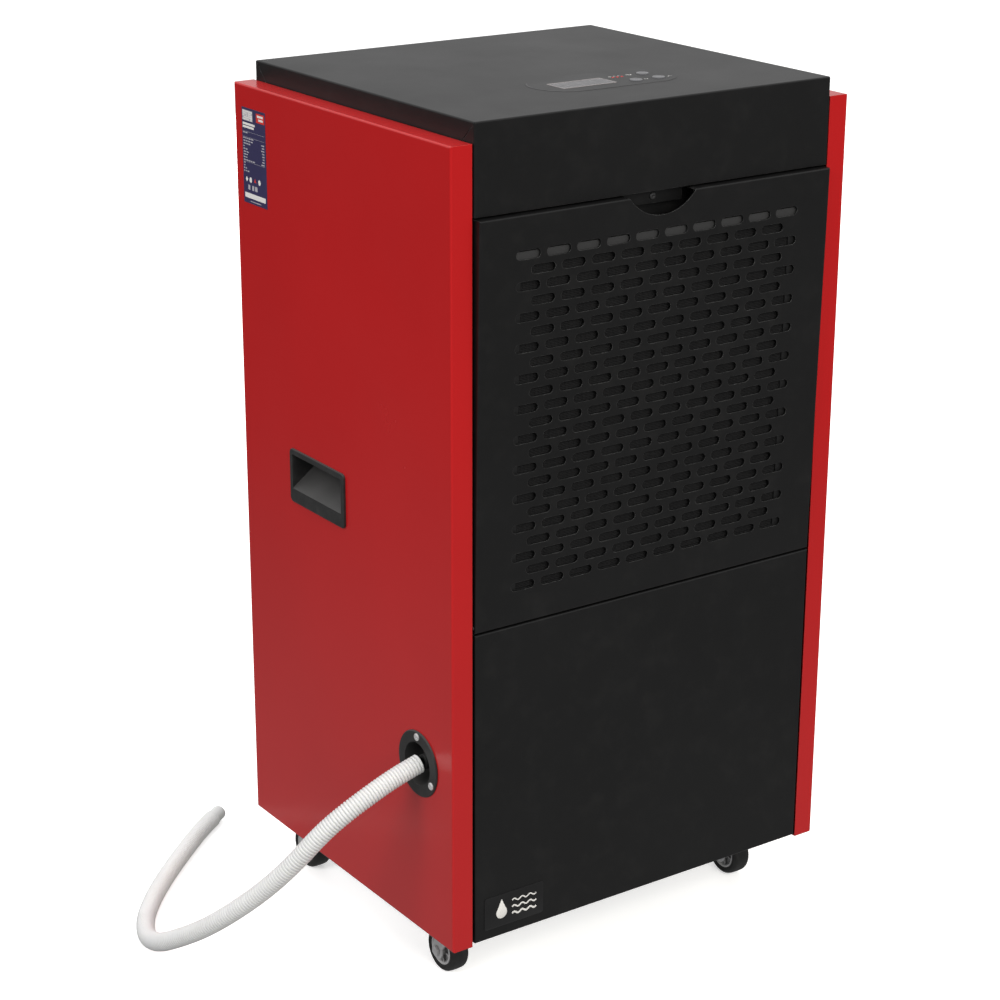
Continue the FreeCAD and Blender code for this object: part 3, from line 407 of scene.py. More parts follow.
def woven_cloth(name, colour, pitch):
    """Fine filter cloth: threads over and under each other on a square pitch in metres."""
    n = Nodes(name)
    parts = n.node("SeparateXYZ", {"Vector": n.place})
    turns = 2 * math.pi / pitch
    warp = n.maths("SINE", n.maths("MULTIPLY", parts.outputs["X"], turns))
    weft = n.maths("SINE", n.maths("MULTIPLY", parts.outputs["Z"], turns))
    thread = n.maths("MAXIMUM", warp, weft)
    over = n.maths("MULTIPLY", warp, weft)
    hole = n.remap(thread, -0.2, 0.5, 0.0, 1.0)
    lint = n.remap(n.noise(55.0, 6.0, 0.7), 0.45, 0.75, 0.0, 0.25)
    tone = n.blend(hole, shade(colour, 0.10), shade(colour, 2.2))
    n.to("Base Color", n.blend(lint, tone, (0.022, 0.022, 0.022, 1.0)))
    n.to("Roughness", 0.85)
    height = n.maths("ADD", thread, n.maths("MULTIPLY", over, 0.3))
    n.to("Normal", n.bump(height, 0.9, 0.0003))
    n.to("Specular IOR Level", 0.25)
    return n.material


def spangled_zinc(name, colour, rough):
    """Galvanised sheet with its patchwork of crystals."""
    n = Nodes(name)
    patch = n.node("SeparateXYZ", {"Vector": n.cells(140.0, out="Color")}).outputs["X"]
    drift = n.noise(14.0, 4.0)
    tone = n.blend(patch, shade(colour, 0.80), shade(colour, 1.12))
    n.to("Base Color", n.blend(n.remap(drift, 0.35, 0.7, 0.0, 0.4), tone, shade(colour, 0.7)))
    n.to("Roughness", n.remap(patch, 0.0, 1.0, rough - 0.1, rough + 0.12))
    n.to("Metallic", 0.9)
    rounded = n.edges(0.0004)[0]
    n.to("Normal", n.bump(n.cells(140.0), 0.12, 0.0002, rounded))
    return n.material


def ribbed_plastic(name, colour):
    """Milky corrugated plastic with faint smudges."""
    n = Nodes(name)
    patch = n.remap(n.noise(18.0, 4.0), 0.3, 0.7, 0.0, 1.0)
    tone = n.blend(patch, shade(colour, 0.96), shade(colour, 1.03))
    smudge = n.remap(n.noise(70.0, 6.0, 0.72), 0.56, 0.78, 0.0, 0.22)
    n.to("Base Color", n.blend(smudge, tone, (0.50, 0.50, 0.49, 1.0)))
    n.to("Roughness", n.remap(n.noise(40.0, 3.0), 0.3, 0.7, 0.40, 0.55))
    n.to("Subsurface Weight", 0.6)
    n.to("Subsurface Radius", (1.0, 1.0, 0.9))
    n.to("Subsurface Scale", 0.004)
    n.to("Normal", n.bump(n.noise(900.0, 2.0), 0.12, 0.0001))
    return n.material


FILTER_TOP_BAR = 0.7750     # height in metres of the lower edge of the filter frame's top bar
BLACK = (0.0054, 0.0054, 0.0056)
RED = (0.400, 0.0095, 0.0105)
MATERIALS = {
    # Its edges take a lighter colour: partly worn paint, partly a painted highlight along bends.
    "black_panel": surface("black_powder_coat", BLACK, 0.44, specular=0.38, mottle=(5.0, 0.10),
                           rough_vary=(7.0, 0.03), wave=(2.6, 0.12, 0.004),
                           grain=(1500.0, 0.30, 0.00016), edge=0.0007,
                           edge_wear_and_highlight=((0.20, 0.20, 0.20), 0.50), dust=(40.0, 0.012)),
    # Its edges take a lighter red: partly worn paint, partly a painted highlight along bends.
    "red_panel": surface("red_powder_coat", RED, 0.24, mottle=(3.0, 0.04), rough_vary=(5.0, 0.04),
                         wave=(3.2, 0.10, 0.004), grain=(1100.0, 0.10, 0.00008), edge=0.0008,
                         edge_wear_and_highlight=((0.55, 0.12, 0.10), 0.45)),
    "galvanised": spangled_zinc("galvanised_sheet", (0.60, 0.61, 0.62), 0.42),
    "guard_wire": surface("coated_wire", (0.012, 0.012, 0.013), 0.38, edge_wear_and_highlight=((0.2, 0.2, 0.2), 0.4)),
    "steel_pin": surface("turned_steel", (0.60, 0.60, 0.61), 0.28, metal=1.0,
                         grain=(900.0, 0.2, 0.0001), stretch=(8, 1, 1)),
    "magnet": surface("nickel_plate", (0.68, 0.67, 0.64), 0.20, metal=1.0),
    # The film's side walls take the lighter colour as painted light; faces that look up keep the
    # film's own dark colour.
    "overlay": surface("printed_film", (0.070, 0.070, 0.072), 0.44, specular=0.38,
                       grain=(2200.0, 0.12, 0.00008), edge=0.0002, mottle=(9.0, 0.08),
                       painted_light_by_facing=(0.0058, 0.0058, 0.0062)),
    "window": surface("clear_window", (0.14, 0.14, 0.145), 0.20, specular=0.3, alpha=0.25,
                      grain=None, mottle=(8.0, 0.10), rough_vary=(14.0, 0.03)),
    "light": surface("red_light_pipe", (0.50, 0.012, 0.010), 0.25, grain=(900.0, 0.1, 0.0001)),
    "board": surface("solder_mask", (0.012, 0.085, 0.035), 0.36, mottle=(60.0, 0.25)),
    # Faces that look up are painted lighter: painted light from above on the handle's ramp.
    "handle_plastic": surface("textured_moulding", (0.0150, 0.0150, 0.0153), 0.52,
                              mottle=(30.0, 0.10),
                              grain=(620.0, 0.75, 0.00026), edge=0.0005,
                              edge_wear_and_highlight=((0.07, 0.07, 0.07), 0.5), dust=(60.0, 0.05),
                              painted_light_by_facing=(0.050, 0.049, 0.049)),
    "bright_screw": surface("zinc_screw", (0.62, 0.62, 0.63), 0.28, metal=0.55,
                            mottle=(300.0, 0.10),
                            grain=(1300.0, 0.15, 0.0001), edge=0.0003),
    "dark_screw": surface("blackened_screw", (0.085, 0.085, 0.087), 0.34, metal=0.8, edge=0.0003,
                          edge_wear_and_highlight=((0.4, 0.4, 0.4), 0.5)),
    "clear_tube": surface("silicone_tube", (0.62, 0.62, 0.58), 0.32, grain=(400.0, 0.1, 0.0001)),
    "hose": ribbed_plastic("corrugated_hose", (0.605, 0.610, 0.616)),
    "tray": surface("white_moulding", (0.70, 0.70, 0.67), 0.42, grain=(700.0, 0.2, 0.0002)),
    "fins": surface("mill_finish_fins", (0.70, 0.71, 0.72), 0.34, metal=1.0, mottle=(90.0, 0.12),
                    stretch=(1, 1, 8), edge=0.0001),
    "copper": surface("copper_tube", (0.72, 0.30, 0.16), 0.30, metal=1.0, mottle=(40.0, 0.18),
                      rough_vary=(30.0, 0.12), edge_wear_and_highlight=((0.30, 0.12, 0.07), 0.3)),
    "compressor_paint": surface("gloss_black_paint", (0.010, 0.010, 0.011), 0.22, coat=0.4,
                                wave=(22.0, 0.3, 0.001)),
    "foot_rubber": surface("black_rubber", (0.016, 0.016, 0.016), 0.75, grain=(500.0, 0.5, 0.0002)),
    "motor_metal": surface("cast_aluminium", (0.42, 0.43, 0.44), 0.50, metal=0.9,
                           grain=(420.0, 0.5, 0.0003)),
    "fan_plastic": surface("glass_filled_plastic", (0.016, 0.016, 0.017), 0.45,
                           grain=(500.0, 0.3, 0.0002), dust=(30.0, 0.06)),
    "gland_plastic": surface("black_nylon", (0.012, 0.012, 0.012), 0.42,
                             grain=(800.0, 0.3, 0.0001)),
    "label": surface("label_film", (0.030, 0.027, 0.078), 0.36, mottle=(40.0, 0.06), edge=0.0002,
                     grain=(1500.0, 0.1, 0.0001)),
    "badge": surface("anodised_badge", (0.0078, 0.0078, 0.0082), 0.40, mottle=(20.0, 0.08),
                     grain=(900.0, 0.18, 0.0001), edge=0.0003),
    # Its recesses take painted shade.
    "zinc": surface("zinc_plate", (0.46, 0.46, 0.47), 0.38, metal=0.45, mottle=(70.0, 0.16),
                    rough_vary=(60.0, 0.10), edge=0.0005, dust=(90.0, 0.10), painted_recess_shade=(0.010, 0.7)),
    # The frame's top bar is painted lighter: painted light falling through the top row of slots.
    "filter_plastic": surface("grey_filter_frame", (0.008, 0.008, 0.0083), 0.5,
                              grain=(600.0, 0.3, 0.0002),
                              painted_light_above=(FILTER_TOP_BAR, (0.033, 0.033, 0.034))),
    "filter_cloth": woven_cloth("filter_cloth", (0.0065, 0.0065, 0.0068), 0.0016),
    "button_metal": surface("plated_button", (0.20, 0.20, 0.21), 0.20, metal=0.85,
                            grain=(1500.0, 0.08, 0.00005), edge=0.0003),
    # Its recesses take painted shade.
    "wheel_plastic": surface("grey_nylon_wheel", (0.40, 0.40, 0.405), 0.34, mottle=(60.0, 0.10),
                             grain=(500.0, 0.25, 0.0002), edge=0.0006, dust=(110.0, 0.12),
                             painted_recess_shade=(0.008, 0.85)),
    "tyre": surface("rubber_tread", (0.010, 0.010, 0.010), 0.58, mottle=(60.0, 0.12),
                    grain=(420.0, 0.5, 0.0003), dust=(130.0, 0.05)),
}


def printed(name, colour, rough=0.5):
    """Thin ink on a film or plate, and the painted highlight along the film's edge."""
    return surface(name, colour, rough, grain=(900.0, 0.1, 0.00005), edge=0.0001)


def lcd_layer(name, colour, edge):
    """A layer of the liquid crystal panel."""
    return surface(name, colour, 0.35, grain=(1800.0, 0.1, 0.00005), edge=edge)


PALE_PRINT = printed("pale_print", (0.68, 0.67, 0.65))
GREY_PRINT = printed("grey_print", (0.38, 0.37, 0.40))
# Painted highlight: a pale line where the film's edge catches the light.
FILM_EDGE_HIGHLIGHT = printed("painted_film_edge_highlight", (0.15, 0.148, 0.155))
RED_PRINT = printed("red_print", (0.55, 0.03, 0.02), rough=0.45)
LCD_GREY = lcd_layer("lcd_grey", (0.185, 0.18, 0.192), 0.0002)
LCD_DARK = lcd_layer("lcd_segment", (0.13, 0.13, 0.137), 0.0001)
BEZEL = surface("window_bezel", (0.36, 0.33, 0.33), 0.35, metal=0.2, edge=0.0002)


def dress_cad_nodes():
    """Every CAD node takes the finish of its slot in the record."""
    slots = {row["node"]: row["material_slot"] for row in frame["record"]["subparts"]}
    for name, piece in frame["nodes"].items():
        piece.data.materials.clear()
        piece.data.materials.append(MATERIALS[slots[name]])


dress_cad_nodes()


# --- drain hose ---------------------------------------------------------------------
HOSE_ROUTE = (
    (-0.238, -0.1475, 0.2586), (-0.262, -0.146, 0.252), (-0.310, -0.142, 0.230),
    (-0.340, -0.131, 0.206), (-0.368, -0.114, 0.168), (-0.387, -0.091, 0.136),
    (-0.409, -0.062, 0.104), (-0.425, -0.029, 0.075), (-0.437, 0.008, 0.050),
    (-0.442, 0.047, 0.027), (-0.435, 0.089, 0.013), (-0.417, 0.128, 0.010),
    (-0.390, 0.163, 0.010), (-0.360, 0.195, 0.010), (-0.328, 0.226, 0.010),
    (-0.296, 0.255, 0.010), (-0.264, 0.283, 0.010), (-0.243, 0.298, 0.010),
)


def smooth_line(points):
    """Points along the NURBS line whose control points are given."""
    data = bpy.data.curves.new("hose_line", "CURVE")
    data.dimensions = "3D"
    data.resolution_u = 24
    spline = data.splines.new("NURBS")
    spline.points.add(len(points) - 1)
    for point, place in zip(spline.points, points):
        point.co = (*place, 1.0)
    spline.order_u = 3
    spline.use_endpoint_u = True
    holder = bpy.data.objects.new("hose_line", data)
    mesh = bpy.data.meshes.new_from_object(holder)
    line = [v.co.copy() for v in mesh.vertices]
    bpy.data.objects.remove(holder)
    bpy.data.curves.remove(data)
    bpy.data.meshes.remove(mesh)
    return line


def even_steps(line, step):
    """The same line at even spacing."""
    out = [line[0].copy()]
    carried = 0.0
    for a, b in zip(line, line[1:]):
        length = (b - a).length
        while carried + length >= step:
            a = a.lerp(b, (step - carried) / length)
            length = (b - a).length
            carried = 0.0
            out.append(a.copy())
        carried += length
    out.append(line[-1].copy())
    return out


def add_hose():
    """Corrugated hose, with a lip folded in at its start and its cuff at the far end."""
    line = smooth_line(HOSE_ROUTE)
    pitch = 3.35            # from rib to rib
    samples = 7             # rings of the mesh in one rib
    steps = even_steps(line, pitch * MM / samples)
    crest = (8.45, 9.55, 10.0, 10.0, 10.0, 10.0, 9.55)
    points = [p / MM for p in steps]
    radii = [crest[k % samples] for k in range(len(points))]
    shape = Shape()
    tube_through(shape, points, radii, 28)
    ahead = (points[1] - points[0]).normalized()
    tube_through(shape, [points[0] + ahead * 9, points[0]], [8.1, radii[0]], 28)
    end = (points[-1] - points[-2]).normalized()
    tail = [points[-1], points[-1] + end * 0.2]
    tube_through(shape, tail, [radii[-1], 7.5], 28)
    hose = make_piece(shape, "corrugated_hose", "cabinet", [MATERIALS["hose"]],
                      ["drain_hose"], angle=80)
    run = Vector(HOSE_ROUTE[-1]) - Vector(HOSE_ROUTE[-2])
    cuff = Shape()
    profile = [(0, 0.2), (9.2, 0.2), (9.5, 0.7), (9.5, 2.6), (9.2, 3.1), (8.6, 3.5), (8.45, 5.0),
               (8.4, 18.6), (8.2, 19.5), (7.8, 19.95), (7.3, 19.9), (7.0, 19.4), (6.9, 6.0),
               (0, 6.0)]
    lathe(cuff, profile, Vector(HOSE_ROUTE[-1]) / MM, run, 40)
    end_cuff = make_piece(cuff, "hose_end_cuff", "cabinet", [MATERIALS["hose"]],
                          ["hose_cuff"])


add_hose()


# --- castors ------------------------------------------------------------------------
# each castor's x and the depth of its swivel axis
CASTORS = {"front_left": (-191.0, 61.0), "front_right": (191.0, 61.0),
           "rear_left": (-191.0, 340.0), "rear_right": (191.0, 340.0)}
TRAIL = 22.0                # from the swivel axis back to the axle
WHEEL_R = 25.0


def tyre_profile():
    """Rounded tread with a fine parting line, and shallow grooves in its side walls."""
    points = [(17.4, -9.4), (18.6, -10.2), (19.4, -10.7), (20.3, -10.5), (20.6, -10.9)]
    for k in range(9):
        a = math.radians(-90 + 90 * k / 8)
        points.append((20.0 + 4.75 * math.cos(a), -6.0 + 5.0 * math.sin(a)))
    points += [(24.88, -4.0), (24.95, -1.0), (25.0, -0.35), (24.82, -0.2)]
    return points + [(r, -h) for r, h in reversed(points)]


def add_castor(name, x, deep):
    """Rubber tread, and a dished hub with six ribs on each side."""
    centre = Vector((x, FRONT + deep + TRAIL, WHEEL_R))
    tyre = Shape()
    lathe(tyre, tyre_profile(), centre, X, 72, closed=True)
    make_piece(tyre, "tread_" + name, "wheel_" + name, [MATERIALS["tyre"]],
               ["tyre_" + name])
    hub = Shape()
    half = [(3.06, -11.9), (5.6, -11.9), (6.4, -11.3), (6.9, -7.2), (7.6, -6.4), (12.6, -6.2),
            (13.7, -6.9), (14.9, -9.5), (15.5, -10.0), (16.8, -9.9), (17.4, -9.4)]
    rib_inner, rib_outer = 6.4, 13.9
    rib_corners = ((rib_inner, -1), (rib_outer, -1), (rib_outer, 1), (rib_inner, 1))
    lathe(hub, half + [(r, -h) for r, h in reversed(half)], centre, X, 64, closed=True)
    for k in range(6):
        a = math.radians(60 * k + 15)
        outward = Y * math.cos(a) + Z * math.sin(a)
        sideways = X.cross(outward) * 0.9
        for side in (-1, 1):
            root = centre + X * (side * 6.0)
            outline = [root + outward * r + sideways * s for r, s in rib_corners]
            slab(hub, outline, X * (side * 2.6), 0.4)
    make_piece(hub, "hub_" + name, "wheel_" + name, [MATERIALS["wheel_plastic"]],
               ["wheel_centre_" + name])


for castor, (castor_x, castor_deep) in CASTORS.items():
    add_castor(castor, castor_x, castor_deep)


# --- controls -----------------------------------------------------------------------
LID_TOP = 914.0
# each button's x and depth
BUTTONS = {"power": (67.0, 116.0), "up": (67.0, 90.0), "down": (39.0, 90.0)}


def add_button(name, x, deep):
    """Plated cap with a shallow dish, on its flange and stem."""
    shape = Shape()
    profile = [(0, 900.5), (1.6, 900.5), (2.0, 901.0), (2.0, 911.2), (8.1, 911.2), (8.2, 911.5),
               (8.2, 912.2), (8.0, 912.4), (6.6, 912.4), (6.6, 914.2), (6.45, 914.8),
               (6.1, 915.2), (5.6, 915.4), (5.2, 915.38), (4.7, 915.2), (3.4, 914.95),
               (1.8, 914.8), (0, 914.76)]
    lathe(shape, profile, (x, FRONT + deep, 0), Z, 56)
    make_piece(shape, "cap_" + name, "button_" + name, [MATERIALS["button_metal"]],
               ["button_" + name], angle=50)


def add_display():
    """Pane with bright edges over a liquid crystal panel with faint unlit segments."""
    x0, x1 = -49.0, 15.5
    y0, y1 = FRONT + 90.0, FRONT + 118.5
    pane = Shape()
    rounded_box(pane, (x0, y0, 914.35), (x1, y1, 914.7), 0.12, 1)
    make_piece(pane, "display_pane", "cabinet", [MATERIALS["window"]],
               ["display_window"])
    lcd = Shape()
    rounded_box(lcd, (x0 + 0.05, y0 + 0.05, 910.55), (x1 - 0.05, y1 - 0.05, 914.2), 0.1, 1)
    thick = 0.9
    bezel_bars = ((x0, x1, y0, y0 + thick), (x0, x1, y1 - thick, y1),
                  (x0, x0 + thick, y0 + thick, y1 - thick),
                  (x1 - thick, x1, y0 + thick, y1 - thick))
    for left, right, near, far in bezel_bars:
        rounded_box(lcd, (left + 0.02, near + 0.02, 913.9), (right - 0.02, far - 0.02, 914.66),
                    0.2, 1, mat=2)
    digit_high, digit_wide, bar = 13.0, 7.6, 1.3
    for k in range(4):
        x = -42.0 + 12.2 * k + (5.0 if k > 1 else 0.0)
        y = y0 + 7.6
        cells = [(x, y, digit_wide, bar), (x, y + digit_high / 2, digit_wide, bar),
                 (x, y + digit_high, digit_wide, bar)]
        for dx in (-bar / 2, digit_wide - bar / 2):
            for dy in (bar / 2 + 0.3, digit_high / 2 + bar / 2 + 0.3):
                cells.append((x + dx, y + dy, bar, digit_high / 2 - bar - 0.2))
        for cx, cy, wide, tall in cells:
            below, above = (bar / 2, bar / 2) if tall == bar else (0, tall)
            rounded_box(lcd, (cx + 0.1, cy - below, 914.1), (cx + wide - 0.1, cy + above, 914.26),
                        0, 1, mat=1)
    make_piece(lcd, "lcd_panel", "cabinet", [LCD_GREY, LCD_DARK, BEZEL])


def stroke(shape, points, wide, z0, z1, mat=0):
    """A flat line through (x, y) points, for print and for the painted highlight on the film's
    edge.
    """
    pts = [Vector((x, y)) for x, y in points]
    last = len(pts) - 1
    verts = []
    for k, p in enumerate(pts):
        before = pts[max(k - 1, 0)]
        after = pts[min(k + 1, last)]
        run = (after - before).normalized()
        left = Vector((-run.y, run.x)) * (wide / 2)
        verts += [(p.x + left.x, p.y + left.y, z0), (p.x - left.x, p.y - left.y, z0),
                  (p.x - left.x, p.y - left.y, z1), (p.x + left.x, p.y + left.y, z1)]
    faces = []
    for k in range(last):
        a, b = 4 * k, 4 * (k + 1)
        for i in range(4):
            j = (i + 1) % 4
            faces.append((a + i, b + i, b + j, a + j))
    faces.append((0, 1, 2, 3))
    faces.append(tuple(4 * last + i for i in (3, 2, 1, 0)))
    return shape.add(verts, faces, mat)


def arc_points(x, y, radius, start, stop, count=16):
    """Points along an arc, its ends given in degrees."""
    return [(x + radius * math.cos(math.radians(start + (stop - start) * k / count)),
             y + radius * math.sin(math.radians(start + (stop - start) * k / count)))
            for k in range(count + 1)]


def add_prints():
    """A painted highlight along the film's left edge, and small generic symbols beside the buttons.
    """
    z0, z1 = LID_TOP + 0.28, LID_TOP + 0.34
    prints = Shape()
    mid = FRONT + 109.5
    # Painted highlight along the left arc of the film's edge.
    stroke(prints, arc_points(-72 + 38.5, mid, 37.4, 140, 262, 24), 0.4, z0, z1, mat=1)
    px, py = 51.0, FRONT + 118.0
    stroke(prints, arc_points(px, py, 2.6, 125, 415), 0.5, z0, z1)
    stroke(prints, [(px, py + 0.4), (px, py + 3.4)], 0.5, z0, z1)
    for x, way in ((80.5, 1), (52.0, -1)):
        y = FRONT + 90.0
        chevron = [(x - 2.4, y - 1.2 * way), (x, y + 1.4 * way), (x + 2.4, y - 1.2 * way)]
        stroke(prints, chevron, 0.55, z0, z1)
    for k, x in enumerate((28.0, 33.5, 39.0)):
        y = FRONT + 118.6
        if k == 0:
            stroke(prints, arc_points(x, y, 1.3, 0, 330, 12), 0.4, z0, z1)
        elif k == 1:
            stroke(prints, [(x - 1.3, y - 0.9), (x, y + 1.4), (x + 1.3, y - 0.9)], 0.4, z0, z1)
        else:
            stroke(prints, [(x - 1.3, y), (x + 1.3, y)], 0.4, z0, z1)
    make_piece(prints, "film_symbols_and_edge_highlight", "cabinet", [PALE_PRINT, FILM_EDGE_HIGHLIGHT])


for button_name, (button_x, button_deep) in BUTTONS.items():
    add_button(button_name, button_x, button_deep)
add_display()
add_prints()


# --- label and badge ----------------------------------------------------------------
LABEL_X = -239.25           # x of the label's printed face


def label_mark(shape, d0, d1, z0, z1, mat, layer=0):
    """A printed block on the left pan's label, from depth d0 to d1."""
    face = LABEL_X - 0.05 * layer
    rounded_box(shape, (face - 0.05, FRONT + d0, z0), (face + 0.01, FRONT + d1, z1), 0, 1, mat)


def add_label_print():
    """Blocks and bars in place of the label's small print; nothing can be read."""
    shape = Shape()
    left, right = 386.0, 341.0
    label_mark(shape, left - 20.6, left, 857.8, 868.6, 1)
    for row in range(5):
        for column in range(9):
            if RNG.random() < 0.7:
                d = left - 0.7 - 2.2 * column
                label_mark(shape, d - 1.6, d, 866.3 - 2.0 * row, 867.9 - 2.0 * row, 0, 1)
    label_mark(shape, right, right + 17.0, 858.6, 868.2, 2)
    label_mark(shape, right + 2.6, right + 14.6, 864.2, 866.5, 0, 1)
    label_mark(shape, right + 2.6, right + 12.0, 860.6, 862.9, 0, 1)
    for z, wide in ((855.6, 25.0), (852.4, 23.0)):
        label_mark(shape, left - wide, left, z - 2.3, z, 0)
    z = 845.5
    for row in range(15):
        if row in (0, 2, 11):
            label_mark(shape, right + 1.0, left, z + 0.9, z + 1.1, 1)
        d = left - RNG.uniform(0.0, 1.0)
        while d > 366.0 and row != 1:
            word = RNG.uniform(2.2, 5.0)
            label_mark(shape, d - word, d, z - 0.9, z + 0.3, 1)
            d -= word + 1.0
            if RNG.random() < 0.30:
                break
        if 2 < row < 11:
            end = right + RNG.uniform(4.0, 9.0)
            label_mark(shape, right + 1.5, end, z - 0.9, z + 0.3, 1)
        z -= 2.85
    for k, d in enumerate((380.5, 372.5, 363.5, 354.5)):
        z = 797.0
        middle = Vector((LABEL_X + 0.01, FRONT + d, z))
        count = (4, 12, 3, 12)[k]
        outline = []
        for i in range(count):
            a = 2 * math.pi * i / count + (math.pi / 2 if count < 12 else 0.0)
            outline.append(middle + Y * (2.6 * math.cos(a)) + Z * (2.9 * math.sin(a)))
        slab(shape, outline, X * -0.06, mat=2 if k == 2 else 0)
    for d0, d1 in ((374.0, 378.0), (366.0, 370.0), (359.0, 364.0)):
        label_mark(shape, d0, d1, 786.5, 791.5, 1)
    label_mark(shape, 342.5, 385.0, 777.6, 782.8, 0)
    label_mark(shape, 352.0, 374.0, 774.2, 775.0, 1)
    make_piece(shape, "label_print", "cabinet", [PALE_PRINT, GREY_PRINT, RED_PRINT])


def add_badge():
    """Dark plate with a raised water drop and three ripples."""
    shape = Shape()
    face = FRONT - 0.55
    corner_r = 3.0
    corners = []
    for cx, cz, start in ((-132.0, 118.0, 0), (-199.0, 118.0, 90),
                          (-199.0, 88.0, 180), (-132.0, 88.0, 270)):
        for k in range(7):
            a = math.radians(start + 15 * k)
            corners.append(Vector((cx + corner_r * math.cos(a), FRONT,
                                   cz + corner_r * math.sin(a))))
    slab(shape, corners, Y * (face - FRONT), 0.2)
    drop = []
    cx, cz, r = -181.0, 100.5, 6.6
    for k in range(25):
        a = math.radians(-218 + 256 * k / 24)
        drop.append(Vector((cx + r * math.cos(a), face + 0.05, cz + r * math.sin(a))))
    drop.append(Vector((cx, face + 0.05, cz + 15.2)))
    slab(shape, drop, Y * -0.27, 0.1, mat=1)
    for row in range(3):
        wave = [(-168.0 + k, 95.5 + 7.5 * row + 1.3 * math.sin(2 * math.pi * k / 10))
                for k in range(31)]
        ribbon = Shape()
        stroke(ribbon, wave, 1.9 - 0.3 * row, 0.0, 0.24)
        shape.add([(x, face - t, z) for x, z, t in ribbon.verts], ribbon.faces, 1)
    make_piece(shape, "badge_plate", "cabinet", [MATERIALS["badge"], PALE_PRINT],
               ["nameplate"])


add_label_print()
add_badge()


# --- screws -------------------------------------------------------------------------
FAN_Z = 640.0               # height of the fan's axis
GUARD_EYES = 159.0          # from the fan's axis to the guard's four screws


def add_screws():
    """Three bright screws on the drain outlet, and the dark ones that hold the panels."""
    shank = [(0, 6), (1.85, 6), (1.85, 0.1), (0, 0.1)]
    drain_y, drain_z, ring = FRONT + 62.7, 258.6, 29.5
    drain = Shape()
    for k in range(3):
        a = math.radians(90 + 120 * k)
        seat = (-241.0, drain_y + ring * math.cos(a), drain_z + ring * math.sin(a))
        cross_screw(drain, seat, -X, 4.0, 2.0)
        lathe(drain, shank, seat, X, 20)
    make_piece(drain, "drain_screw_heads", "cabinet", [MATERIALS["bright_screw"]],
               ["drain_screws"], angle=40)
    dark = Shape()
    notch_seat = (0, FRONT + 10.0, 818.0)
    cross_screw(dark, notch_seat, -Y, 3.6, 1.6)
    lathe(dark, shank, notch_seat, Y, 20)
    seats = []
    for side in (-1, 1):
        seats += [(side * 203.0, 400.0, z) for z in (110, 300, 420, 860)]
        seats.append((side * 120.0, 400.0, 896.0))
        seats += [(side * 227.0, 402.6, z) for z in (130, 480, 830)]
    for k in range(4):
        a = math.radians(45 + 90 * k)
        seats.append((GUARD_EYES * math.cos(a), 402.0, FAN_Z + GUARD_EYES * math.sin(a)))
    for x, deep, z in seats:
        cross_screw(dark, (x, FRONT + deep, z), Y, 4.0, 2.0)
    make_piece(dark, "panel_screw_heads", "cabinet", [MATERIALS["dark_screw"]],
               ["panel_screws"], angle=40)


add_screws()


# --- fan, guard and coils -----------------------------------------------------------
def add_guard():
    """Welded wire guard with a pressed centre disc and four screw eyes."""
    shape = Shape()
    y = FRONT + 401.0
    rings = [(36.2 + 11.6 * k, 0.8) for k in range(11)] + [(164.9, 1.0)]
    for ring_r, wire_r in rings:
        torus(shape, (0, y + 0.2, FAN_Z), Y, ring_r, wire_r, 120, 8)
    middle = Vector((0, y - 0.2, FAN_Z))
    for k in range(8):
        a = math.pi * k / 4 + math.pi / 8
        way = X * math.cos(a) + Z * math.sin(a)
        rod_between(shape, middle + way * 22, middle + way * 165, 0.8, 10)
    disc = [(0, -1.0), (25.6, -1.0), (26.0, -0.6), (26.0, 0.3), (25.0, 0.9), (20.0, 0.95),
            (18.5, 0.4), (0, 0.4)]
    lathe(shape, disc, (0, y, FAN_Z), Y, 72)
    eye = [(2.0, -1.0), (6.4, -1.0), (6.8, -0.6), (6.8, 0.6), (6.4, 1.0), (2.0, 1.0)]
    for k in range(4):
        a = math.radians(45 + 90 * k)
        place = (GUARD_EYES * math.cos(a), y, FAN_Z + GUARD_EYES * math.sin(a))
        lathe(shape, eye, place, Y, 32, closed=True)
    make_piece(shape, "wire_guard", "cabinet", [MATERIALS["guard_wire"]],
               ["outlet_guard"])


